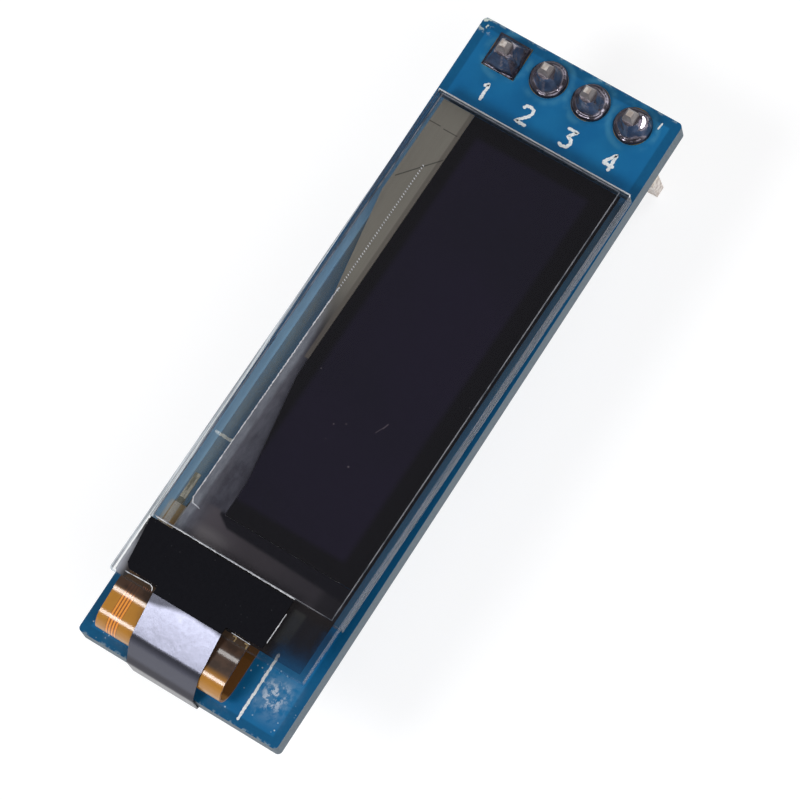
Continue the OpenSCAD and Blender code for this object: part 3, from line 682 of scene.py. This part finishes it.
def polyimide():
    """Amber film over copper tracks, dark brown where it dips beside the glass, with a painted pink
    reflection of the floor on its lower part.
    """
    s = Shade("polyimide")
    cloud = s.noise(0.9, 4.0, 0.6)
    amber = s.mix(cloud, tone(166, 106, 12), tone(188, 130, 28))
    low = s.under(s.z, BOARD_TOP + 1.0, 0.3)
    # painted reflection: the lower part is tinted pink, as the floor would show in it
    amber = s.mix(s.both(low, 0.7), amber, tone(190, 138, 84))
    colour = copper_tracks(s, amber)
    dark = dark_dips(s)
    blots = s.over(s.noise(1.6, 5.0, 0.6), 0.5, 0.1)
    colour = s.mix(s.both(dark, 0.95), colour, s.mix(blots, tone(38, 30, 30), tone(62, 46, 40)))
    bonded = s.mix(s.noise(2.2, 4.0, 0.6), tone(58, 42, 30), tone(96, 68, 40))
    bonded = s.mix(low, bonded, tone(150, 112, 52))
    colour = s.mix(s.under(s.x, GLASS_HIGH.x, 0.03), colour, bonded)
    inner = s.both(s.over(s.y, 1.0, 0.2), s.under(s.x, FLEX_HIGH.x - 0.5, 0.1))
    colour = s.mix(s.both(inner, low, 0.8), colour, tone(92, 54, 22))
    gloss = {
        "Specular_IOR_Level": 0.2, "Coat_IOR": COAT_IOR,
        "Coat_Weight": s.fade(dark, 0.9, 0.45), "Coat_Roughness": s.fade(cloud, 0.15, 0.22),
    }
    return s.done(s.surface(tail_contacts(s, colour), 0.45, s.bump(cloud, 0.008), **gloss))


def cover_tape():
    """Black polyester tape with a satin skin, shallow dents and dust, a little lighter where it
    hangs as a painted reflection of the floor.
    """
    s = Shade("cover_tape")
    skin = s.noise(5.0, 5.0, 0.65)
    dents = s.noise(0.8, 3.0, 0.5)
    colour = s.mix(skin, tone(15, 15, 18), tone(22, 22, 25))
    far_face = s.over(s.x, TAPE_HIGH.x - 0.28, 0.1)
    hanging = s.either(s.under(s.z, BOARD_TOP + 0.1, 0.7), far_face)
    # painted reflection: the hanging part is lightened a little, as by the floor
    colour = s.mix(s.both(hanging, 0.8), colour, tone(33, 29, 33))
    specks = s.under(s.grains(2.2), 0.05, 0.02)
    colour = s.mix(s.both(specks, 0.2), colour, tone(110, 108, 112))
    sagging = s.both(s.under(s.y, -1.9, 1.3), 0.5)
    wander = s.noise(0.55, 1.5, 0.4, (0.4, 1.0, 0.4))
    crease = s.both(s.minus(wander, 0.5), 0.7)
    fold = s.minus(s.x, s.plus(sagging, crease))
    off_glass = s.over(fold, GLASS_HIGH.x + 0.1, 0.14)
    normal = s.bump(s.plus(dents, s.both(skin, 0.12)), 0.012)
    gloss = s.both(s.fade(off_glass, 0.2, 1.0), s.fade(hanging, 1.0, 0.4))
    sheen = {"IOR": TAPE_IOR, "Specular_IOR_Level": gloss, "Specular_Tint": (0.76, 0.78, 1.0, 1)}
    return s.done(s.surface(colour, s.fade(skin, 0.2, 0.3), normal, **sheen))


# ---- materials: parts on the back

def bare_tin(s, grain, tones, roughness, depth):
    return s.surface(s.mix(grain, *tones), roughness, s.bump(grain, depth), Metallic=0.9)


def capped(name, body_a, body_b, roughness):
    """A chip whose two ends are tinned metal caps."""
    s = Shade(name)
    split = s.add("ShaderNodeSeparateXYZ", {0: s.coordinates.outputs["Generated"]})
    from_middle = s.math("ABSOLUTE", s.minus(split.outputs[1], 0.5))
    cap = s.over(from_middle, 0.31, 0.012)
    grain = s.noise(6.0, 4.0, 0.6)
    body = s.surface(s.mix(grain, body_a, body_b), roughness, s.bump(grain, 0.006))
    tin = bare_tin(s, grain, (tone(178, 180, 184), tone(216, 216, 218)), 0.32, 0.012)
    return s.done(s.blend(cap, body, tin))


def chip_ceramic():
    return capped("chip_ceramic", tone(150, 122, 88), tone(172, 144, 106), 0.55)


def chip_resistor():
    return capped("chip_resistor", tone(22, 22, 24), tone(38, 38, 42), 0.25)


LEAD_REACH = 0.6  # of the leads beyond the moulded body


def moulded_package():
    """Black moulded body, with tin on the leads beyond it."""
    s = Shade("moulded_package")
    low, high = node_box("voltage_regulator")
    body_half = (high.y - low.y) / 2 - LEAD_REACH
    middle = (high.y + low.y) / 2
    from_middle = s.math("ABSOLUTE", s.minus(s.y, middle))
    lead = s.over(from_middle, body_half + 0.01, 0.01)
    grain = s.noise(9.0, 4.0, 0.65)
    black = s.mix(grain, tone(24, 24, 26), tone(40, 40, 42))
    body = s.surface(black, s.fade(grain, 0.5, 0.7), s.bump(grain, 0.01))
    tin = bare_tin(s, grain, (tone(178, 180, 184), tone(214, 214, 216)), 0.3, 0.006)
    return s.done(s.blend(lead, body, tin))


# ---- materials: marks

def white_ink():
    s = Shade("white_ink")
    grain = s.noise(9.0, 4.0, 0.7)
    colour = s.mix(s.over(grain, 0.42, 0.12), tone(198, 214, 222), tone(240, 242, 240))
    return s.done(s.surface(colour, s.fade(grain, 0.5, 0.7), s.bump(grain, 0.006)))


def pale_mark():
    """Pale marks at the edges of the films: bare metal in the lead film, and painted highlights
    along the tape's edges.
    """
    s = Shade("pale_mark")
    grain = s.noise(2.5, 5.0, 0.65)
    colour = s.mix(s.over(grain, 0.45, 0.15), tone(150, 152, 160), tone(226, 226, 228))
    return s.done(s.surface(colour, s.fade(grain, 0.4, 0.6)))


# ---- looks by name

PLAIN_LOOKS = {  # noise, two tones, roughness, depth of the grain, share of metal
    "header_plastic": ((7.0, 4.0, 0.65), tone(20, 20, 21), tone(34, 34, 36), (0.42, 0.6), 0.006),
    "plated_copper": (
        (4.0, 3.0, 0.6), tone(186, 150, 88), tone(214, 186, 124), (0.25, 0.4), 0.003, 1,
    ),
    "desiccant": ((6.0, 4.0, 0.6), tone(206, 206, 200), tone(228, 228, 224), 0.8, 0.005),
    "silicon": ((5.0, 2.0, 0.4, (4.0, 0.6, 1.0)), tone(38, 40, 46), tone(62, 64, 72), 0.12, 0, 0.6),
    "adhesive_pad": ((3.0, 5.0, 0.7), tone(206, 198, 172), tone(228, 222, 200), 0.75, 0.02),
    "gold_contact": (
        (4.0, 4.0, 0.6), tone(186, 140, 84), tone(240, 214, 160), (0.3, 0.5), 0.004, 0.6,
    ),
    "copper_mark": ((4.0, 4.0, 0.6), tone(150, 84, 50), tone(186, 118, 84), (0.3, 0.5)),
}


def grained(name, noise, low, high, roughness, depth=0, metal=0):
    """A plain material that varies with one noise. roughness is a number or a pair."""
    s = Shade(name)
    grain = s.noise(*noise)
    if isinstance(roughness, tuple):
        roughness = s.fade(grain, *roughness)
    normal = s.bump(grain, depth) if depth else None
    return s.done(s.surface(s.mix(grain, low, high), roughness, normal, Metallic=metal))


LOOKS = {name: grained(name, *row) for name, row in PLAIN_LOOKS.items()}
for maker in (
    solder_mask, pin_metal, solder, tinned_land, foam, clear_glass, seal_glue, ledge_glue,
    screen_film, lead_film, polarizer_film, polyimide, cover_tape, moulded_package,
    chip_ceramic, chip_resistor, white_ink, pale_mark,
):
    LOOKS[maker.__name__] = maker()


def dress_nodes():
    """Gives every CAD node the material of its slot in the record."""
    for row in frame["record"]["subparts"]:
        materials = NODES[row["node"]].data.materials
        materials.clear()
        materials.append(LOOKS[row["material_slot"]])


# ---- mesh helpers

SMOOTH_ANGLE = math.radians(32)
FLAT_ANGLE = math.radians(0.5)
WELD = 1e-7


def new_object(name, mesh_data, material):
    """An object made of a bmesh, which it frees."""
    mesh = bpy.data.meshes.new(name)
    mesh_data.to_mesh(mesh)
    mesh_data.free()
    mesh.materials.append(material)
    made = bpy.data.objects.new(name, mesh)
    bpy.context.scene.collection.objects.link(made)
    return made


def finish_piece(name, mesh_data, look, slot, *replaced):
    """Makes an object of a bmesh, smooth but for its sharp edges, hangs it under the root body and
    hides the nodes it replaces.
    """
    for face in mesh_data.faces:
        face.smooth = True
    for edge in mesh_data.edges:
        edge.smooth = len(edge.link_faces) == 2 and edge.calc_face_angle() < SMOOTH_ANGLE
    piece = new_object(name, mesh_data, LOOKS[look])
    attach(piece, "root")
    if replaced:
        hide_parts(*replaced)


def copied(node):
    """A welded copy of a CAD node's mesh."""
    made = bmesh.new()
    made.from_mesh(NODES[node].data)
    bmesh.ops.remove_doubles(made, verts=made.verts, dist=WELD)
    bmesh.ops.dissolve_limit(made, angle_limit=FLAT_ANGLE, verts=made.verts, edges=made.edges)
    return made


def resampled(points, step):
    """Stations about step apart along a polyline, with its corners kept."""
    stations = [Vector(points[0])]
    for a, b in zip(points, points[1:]):
        a, b = Vector(a), Vector(b)
        count = max(1, round((b - a).length / step))
        stations += [a.lerp(b, i / count) for i in range(1, count + 1)]
    return stations


def join_rings(mesh_data, rings):
    """Faces between each ring of vertices and the next."""
    for a, b in zip(rings, rings[1:]):
        for i in range(len(a)):
            j = (i + 1) % len(a)
            mesh_data.faces.new((a[i], a[j], b[j], b[i]))


END_SHARE = 0.55  # width of a stroke's ends beside its full width


def add_stroke(mesh_data, points, width, thickness, place, rng, ragged=0.0, step=0.06):
    """A flat stroke along 2D points. place(x, y, lift) puts a point on its surface."""
    stations = resampled(points, step)
    rings = []
    for i, here in enumerate(stations):
        before, after = stations[max(i - 1, 0)], stations[min(i + 1, len(stations) - 1)]
        ahead = (after - before).normalized()
        aside = Vector((-ahead.y, ahead.x))
        end = i in (0, len(stations) - 1)
        half = width / 2 * (END_SHARE if end else 1.0)
        left = here + aside * (half + rng.uniform(-ragged, ragged))
        right = here - aside * (half + rng.uniform(-ragged, ragged))
        corners = [(left, 0), (left, thickness), (right, thickness), (right, 0)]
        rings.append([mesh_data.verts.new(place(p.x, p.y, lift) * MM) for p, lift in corners])
    join_rings(mesh_data, rings)
    mesh_data.faces.new(rings[0])
    mesh_data.faces.new(list(reversed(rings[-1])))
    bmesh.ops.recalc_face_normals(mesh_data, faces=mesh_data.faces)


def stroke_piece(name, look, slot, strokes, *shape):
    """A piece made of flat strokes. shape is what add_stroke takes after the points."""
    mesh_data = bmesh.new()
    for points in strokes:
        add_stroke(mesh_data, points, *shape)
    finish_piece(name, mesh_data, look, slot)


# ---- printed marks

DIGITS = {
    "1": [[(0.12, 0.78), (0.34, 1.0), (0.34, 0.0)]],
    "2": [[(0.0, 0.76), (0.1, 0.94), (0.32, 1.0), (0.54, 0.92),
           (0.6, 0.72), (0.48, 0.48), (0.0, 0.0), (0.64, 0.0)]],
    "3": [[(0.02, 1.0), (0.6, 1.0), (0.28, 0.6), (0.52, 0.5),
           (0.6, 0.28), (0.48, 0.06), (0.24, 0.0), (0.0, 0.1)]],
    "4": [[(0.46, 0.0), (0.46, 1.0), (0.0, 0.32)], [(0.0, 0.32), (0.66, 0.32)]],
}
DIGIT_H = 1.0
DIGIT_TOP_X = 1.72  # nearest to the pins
DIGIT_W = 0.62
INK_W = 0.17
INK_T = 0.02
INK_STEP = 0.004  # extra thickness where a second stroke crosses the first
INK_RAGGED = 0.02


def number_prints():
    """Plain numbers beside the pins, read along Y."""
    rng = random.Random(11)
    for index, (label, strokes) in enumerate(DIGITS.items()):
        middle = PIN_PLACES[index].y
        mesh_data = bmesh.new()
        for layer, stroke in enumerate(strokes):
            points = [
                (DIGIT_TOP_X + (1 - up) * DIGIT_H, middle + (across - DIGIT_W / 2) * DIGIT_H)
                for across, up in stroke
            ]
            thickness = INK_T + INK_STEP * layer
            add_stroke(mesh_data, points, INK_W, thickness, on_board, rng, INK_RAGGED)
        finish_piece(f"print_number_{label}", mesh_data, "white_ink", "solder_mask")


def line_prints():
    """Lines and ticks of the same print."""
    rng = random.Random(5)
    far = BOARD_HIGH.x - 0.28
    lines = {
        "print_line_flex": ([(far - 3.9, 3.46), (far, 3.5)], 0.14),
        "print_tick_panel": ([(24.45, -5.75), (24.5, -3.6)], 0.16),
        "print_dash_pins": ([(-0.9, 5.05), (-0.5, 5.0)], 0.09),
    }
    for name, (points, width) in lines.items():
        shape = (width, INK_T, on_board, rng, INK_RAGGED, 0.08)
        stroke_piece(name, "white_ink", "solder_mask", [points], *shape)


# ---- fine forms under the glass

MARK_T = 0.006
PAD_PITCH = 0.165
PAD_REACH = 0.05
PAD_ROW_Y = -4.02
PAD_ROW_X = (7.4, 15.5)


def glass_mark(x, y, lift):
    return on_glass(x, y, MARK_T + lift)


def lead_marks():
    """The row of small pads in the lead film and the pale line along its edge."""
    rng = random.Random(3)
    start, end = PAD_ROW_X
    pads = []
    for i in range(int((end - start) / PAD_PITCH)):
        x = start + i * PAD_PITCH
        pads.append([(x, PAD_ROW_Y - PAD_REACH), (x + PAD_REACH, PAD_ROW_Y + PAD_REACH)])
    shape = (PAD_REACH, MARK_T, glass_mark, rng)
    stroke_piece("lead_pads", "pale_mark", "lead_film", pads, *shape)

    y = LEAD_LOW.y + 1.03
    edge = [(15.2, y + 0.05), (20.0, y + 0.02), (28.2, y - 0.03), (28.5, y + 0.1), (28.6, y + 0.6)]
    shape = (0.055, MARK_T, glass_mark, rng, 0.02)
    stroke_piece("lead_edge", "pale_mark", "lead_film", [edge], *shape)


GLASS_T = 0.55
BOND_GAP = 0.035


def under_glass(x, y, lift):
    return on_glass(x, y, lift - BOND_GAP)


def over_glass(x, y, lift):
    return on_glass(x, y, GLASS_T + lift)


FOIL_T = 0.01
FOIL_RAGGED = 0.01
CONTACT_PLACES = ((33.3, 1.77), (33.32, 2.46))
BOND_MARKS = 5
BOND_MARK_Y = -3.62
BOND_MARK_PITCH = 0.11


def bond_contacts():
    """Gold contacts of the flex that show through the end of the ledge."""
    rng = random.Random(8)
    hooks = []
    for x, y in CONTACT_PLACES:
        hooks.append([(x - 0.12, y - 0.16), (x - 0.12, y + 0.06)])
        hooks.append([(x - 0.14, y + 0.04), (x + 0.14, y + 0.04)])
    shape = (FOIL_T, under_glass, rng, FOIL_RAGGED)
    stroke_piece("bond_contacts", "gold_contact", "plated_copper", hooks, 0.07, *shape)

    marks = []
    for i in range(BOND_MARKS):
        y = BOND_MARK_Y + BOND_MARK_PITCH * i
        marks.append([(33.38, y), (33.5, y + 0.03)])
    stroke_piece("bond_marks", "copper_mark", "plated_copper", marks, 0.04, *shape)


def ledge_glue_piece():
    """The strip of glue under the bare side of the ledge."""
    rng = random.Random(31)
    y = GLASS_LOW.y + 0.42
    strip = [(POLARIZER_HIGH.x + 0.05, y - 0.02), (GLASS_HIGH.x - 0.06, y + 0.03)]
    shape = (0.7, FOIL_T, under_glass, rng, FOIL_RAGGED, 0.15)
    stroke_piece("ledge_glue", "ledge_glue", "seal_glue", [strip], *shape)


LINE_T = 0.008


def tape_outlines():
    """Thin pale lines: one where the polarizer ends, and painted highlights along the tape's edges.
    """
    rng = random.Random(14)
    film_x = POLARIZER_HIGH.x + 0.04
    high = TAPE_HIGH.y + 0.05
    lines = {
        "polarizer_line": ([(film_x, GLASS_LOW.y + 0.5), (film_x, TAPE_HIGH.y)], 0.07),
        # painted highlights along the tape's edges
        "tape_edge_highlight_side": ([(31.0, high), (32.75, high)], 0.045),
        "tape_edge_highlight_low": ([(33.3, -4.7), (33.24, -3.24), (33.32, -3.05), (33.5, -2.98)], 0.045),
        "tape_edge_highlight_high": ([(33.2, 1.62), (33.24, 2.75)], 0.035),
    }
    for name, (points, width) in lines.items():
        shape = (width, LINE_T, over_glass, rng, width / 6, 0.08)
        stroke_piece(name, "pale_mark", "cover_tape", [points], *shape)


# ---- smooth copies of soft forms

EDGE_REACH = 0.02  # how near an outline a face's middle has to be
END_REACH = 0.2


def on_outline(face):
    """Whether a side face of a pane is one of the outer ones."""
    middle = face.calc_center_median() / MM
    centre_y = (GLASS_LOW.y + GLASS_HIGH.y) / 2
    near_y = min(abs(middle.y - GLASS_LOW.y), abs(middle.y - GLASS_HIGH.y)) < EDGE_REACH
    end = abs(face.normal.x) > FACE_SLOPE and abs(middle.y - centre_y) < EDGE_REACH
    near_end = end and middle.x < GLASS_LOW.x + END_REACH
    far_end = end and face.normal.x > FACE_SLOPE and middle.x > POLARIZER_HIGH.x
    return near_y or near_end or far_end


def but_underside(face):
    return face.normal.z > -FACE_SLOPE


def outer_side(face):
    return abs(face.normal.z) < FACE_SLOPE and on_outline(face)


def underside_or_side(face):
    return face.normal.z < -FACE_SLOPE or outer_side(face)


def pane_pieces():
    """Copies of the clear nodes without the faces that lie against their neighbours.

    Clear faces that touch would be met in turn by every ray, to no effect.
    """
    for name, node, slot, keep in (
        ("front_pane", "front_glass", "clear_glass", but_underside),
        ("rear_pane", "rear_glass", "clear_glass", underside_or_side),
        ("seal_edge", "glass_seal", "seal_glue", outer_side),
        ("polarizer_sheet", "polarizer", "polarizer_film", but_underside),
    ):
        mesh_data = copied(node)
        hidden = [face for face in mesh_data.faces if not keep(face)]
        bmesh.ops.delete(mesh_data, geom=hidden, context="FACES")
        finish_piece(name, mesh_data, slot, slot, node)


def film_pieces():
    """Smooth copies of the flex and the tape."""
    for name, node, slot in (
        ("flex_film", "flex_cable", "polyimide"),
        ("tape_film", "cover_tape", "cover_tape"),
    ):
        finish_piece(name, copied(node), slot, slot, node)


SQUARE_PIN = 1
SOLDER_RIM = 0.2  # height of the rounded rim round the foot
SOLDER_PULL = 1.7  # hollowness of the flank, from 1 for a straight one
SQUARE_PULL = 1.4
SOLDER_LIP = 0.15  # solder on the pin's faces at the top
SOLDER_RINGS = 16
SOLDER_SIDES = 64
PIN_HALF = 0.32
SWELLINGS = (2, 3, 5)  # how many of each kind come round a joint
CREASE_TURN = math.radians(75)  # direction of the ridge where each joint froze last
CREASE_WIDTH = 0.13
CREASE_RISE = 0.16
BLOB_MIDDLE = (-0.15, 0.56)  # of the extra lump on the last joint, from its pin
BLOB_HALF = (0.6, 0.46)
BLOB_TOP = 0.85
BLOB_TILT = 0.436


def solder_profile(foot, height, rim, pull):
    """Half widths and heights of the solder from its foot up: a round rim, then a hollow."""
    top = PIN_HALF + SOLDER_LIP
    inner = foot - rim
    turns = [math.radians(a) for a in range(0, 91, 15)]
    side = [(foot - rim * (1 - math.cos(a)), rim * math.sin(a)) for a in turns]
    steps = [i / SOLDER_RINGS for i in range(1, SOLDER_RINGS + 1)]
    return side + [(inner + (top - inner) * t, rim + (height - rim) * t ** pull) for t in steps]


def with_blob(dx, dy, lift):
    """Height of the last joint, where extra solder froze beside the pin with a tilted top."""
    reach = math.hypot((dx - BLOB_MIDDLE[0]) / BLOB_HALF[0], (dy - BLOB_MIDDLE[1]) / BLOB_HALF[1])
    share = max(0.0, min(1.0, 2.2 * (1 - reach), 4 * lift))
    flat_top = BLOB_TOP - BLOB_TILT * dx
    return lift + share * share * (3 - 2 * share) * max(0.0, flat_top - lift)


def joint_point(n, radius, up, rise, turn, lumps):
    """Where a point of the smooth profile comes to lie, from the middle of the joint's foot."""
    reach = radius
    if n == SQUARE_PIN:
        corner = 1 / max(abs(math.cos(turn)), abs(math.sin(turn)))
        reach *= 1 + (corner - 1) * (1 - rise) ** 0.5
    wave = sum(size * math.sin(k * turn + phase) for phase, k, size in lumps)
    reach *= 1 + (wave - 0.01) * math.sin(math.pi * min(1, rise + 0.15))
    lift = up * (1 + 1.5 * wave * math.sin(math.pi * rise))
    crease = math.exp(-((turn - CREASE_TURN) / CREASE_WIDTH) ** 2)
    lift += CREASE_RISE * crease * math.sin(math.pi * rise)
    dx, dy = reach * math.cos(turn), reach * math.sin(turn)
    if n == PIN_COUNT:
        lift = with_blob(dx, dy, lift)
    return dx, dy, lift


def solder_piece(n):
    """Solder drawn up the pin from its land, uneven as hand soldering leaves it."""
    node = f"solder_joint_{n}"
    low, high = node_box(node)
    middle = (low + high) / 2
    height = high.z - low.z
    rng = random.Random(20 + n)
    lumps = [(rng.uniform(0, 2 * math.pi), k, rng.uniform(0.01, 0.035)) for k in SWELLINGS]
    shape = (SOLDER_RIM / 3, SQUARE_PULL) if n == SQUARE_PIN else (SOLDER_RIM, SOLDER_PULL)
    turns = [2 * math.pi * i / SOLDER_SIDES for i in range(SOLDER_SIDES)]
    mesh_data = bmesh.new()
    rings = []
    for radius, up in solder_profile((high.x - low.x) / 2, height, *shape):
        ring = []
        for turn in turns:
            dx, dy, lift = joint_point(n, radius, up, up / height, turn, lumps)
            point = Vector((middle.x + dx, middle.y + dy, low.z + lift))
            ring.append(mesh_data.verts.new(point * MM))
        rings.append(ring)
    join_rings(mesh_data, rings)
    mesh_data.faces.new(list(reversed(rings[0])))
    mesh_data.faces.new(rings[-1])
    bmesh.ops.recalc_face_normals(mesh_data, faces=mesh_data.faces)
    finish_piece(f"solder_form_{n}", mesh_data, "solder", "solder", node)


# ---- stage

LENS_LENGTH = 213.87
SENSOR_WIDTH = 36.0
CAMERA_PLACE = Vector((63.59, 66.64, 228.70))
CAMERA_TURN = (17.9315, 7.6129, 122.9509)  # degrees
CLIP_NEAR, CLIP_FAR = 0.01, 10  # metres


def camera():
    """Looks down on the module from a long way off, over its last pin and flex end."""
    data = bpy.data.cameras.new("camera")
    data.lens = LENS_LENGTH
    data.sensor_width = SENSOR_WIDTH
    data.clip_start = CLIP_NEAR
    data.clip_end = CLIP_FAR
    holder = bpy.data.objects.new("camera", data)
    holder.location = CAMERA_PLACE * MM
    holder.rotation_euler = Euler([math.radians(angle) for angle in CAMERA_TURN], "XYZ")
    bpy.context.scene.collection.objects.link(holder)
    bpy.context.scene.camera = holder


LAMP_TARGET = Vector((17, 0, 4))
LAMP_DISTANCE = 300


def lamp(name, towards, radius, radiance, colour=(1, 1, 1)):
    """A round soft light that looks at the module from a direction, of a given radiance."""
    data = bpy.data.lights.new(name, "AREA")
    data.shape = "DISK"
    data.size = 2 * radius * MM
    data.energy = radiance * math.pi * math.pi * (radius * MM) ** 2
    data.color = colour
    holder = bpy.data.objects.new(name, data)
    direction = Vector(towards).normalized()
    holder.location = LAMP_TARGET * MM + direction * LAMP_DISTANCE * MM
    holder.rotation_euler = direction.to_track_quat("Z", "Y").to_euler()
    bpy.context.scene.collection.objects.link(holder)


def lights():
    cool = (0.97, 0.98, 1.0)
    lamp("key", (0.50, -0.28, 0.82), 50, 15.0)
    lamp("fill_side", (0.25, 0.62, 0.74), 95, 3.0, cool)
    lamp("fill_back", (-0.75, 0.25, 0.6), 90, 2.6, cool)


ROOM_STOPS = ((0.0, 0.9), (0.12, 0.75), (0.55, 0.2), (1.0, 0.13))  # height and light
ROOM_BLUE = 1.04


def world():
    """Pale near the horizon and dim overhead, so that glass stays dark from above."""
    made = bpy.data.worlds.new("room")
    made.use_nodes = True
    tree = made.node_tree
    tree.nodes.clear()
    coordinates = tree.nodes.new("ShaderNodeTexCoord")
    split = tree.nodes.new("ShaderNodeSeparateXYZ")
    ramp = tree.nodes.new("ShaderNodeValToRGB")
    background = tree.nodes.new("ShaderNodeBackground")
    output = tree.nodes.new("ShaderNodeOutputWorld")
    tree.links.new(coordinates.outputs["Generated"], split.inputs[0])
    tree.links.new(split.outputs[2], ramp.inputs[0])
    tree.links.new(ramp.outputs[0], background.inputs["Color"])
    tree.links.new(background.outputs[0], output.inputs["Surface"])
    elements = ramp.color_ramp.elements
    while len(elements) < len(ROOM_STOPS):
        elements.new(0.5)
    for element, (place, level) in zip(elements, ROOM_STOPS):
        element.position = place
        element.color = (level, level, level * ROOM_BLUE, 1)
    bpy.context.scene.world = made


FLOOR_HALF = 1500
FLOOR_DROP = 0.2  # under the tips of the pins
FLOOR_GLOW = 0.74


def grey(level):
    return (level, level, level, 1)


def floor_paper():
    """Paper that is white to the eye, and lit enough to hold a shadow."""
    s = Shade("floor_paper")
    grain = s.noise(0.4, 3.0, 0.5)
    paper = s.add("ShaderNodeBsdfDiffuse", {0: s.mix(grain, grey(0.80), grey(0.82))}).outputs[0]
    faint = s.add("ShaderNodeBsdfDiffuse", {0: s.mix(grain, grey(0.36), grey(0.37))}).outputs[0]
    glow = s.add("ShaderNodeEmission", {0: WHITE, 1: FLOOR_GLOW}).outputs[0]
    bright = s.add("ShaderNodeAddShader")
    s.tree.links.new(faint, bright.inputs[0])
    s.tree.links.new(glow, bright.inputs[1])
    path = s.add("ShaderNodeLightPath")
    seen = s.either(path.outputs["Is Camera Ray"], path.outputs["Is Glossy Ray"])
    seen = s.either(seen, path.outputs["Is Transmission Ray"])
    return s.done(s.blend(seen, paper, bright.outputs[0]))


def floor():
    """A wide pale floor under the pins."""
    mesh_data = bmesh.new()
    bmesh.ops.create_grid(mesh_data, x_segments=1, y_segments=1, size=FLOOR_HALF * MM)
    piece = new_object("floor", mesh_data, floor_paper())
    piece.location = (0, 0, cad_box[0].z - FLOOR_DROP * MM)


# ---- the scene

dress_nodes()
number_prints()
line_prints()
lead_marks()
pane_pieces()
bond_contacts()
ledge_glue_piece()
tape_outlines()
film_pieces()
for number in PIN_NUMBERS:
    solder_piece(number)
camera()
lights()
world()
floor()
bpy.context.scene.view_settings.view_transform = "Standard"
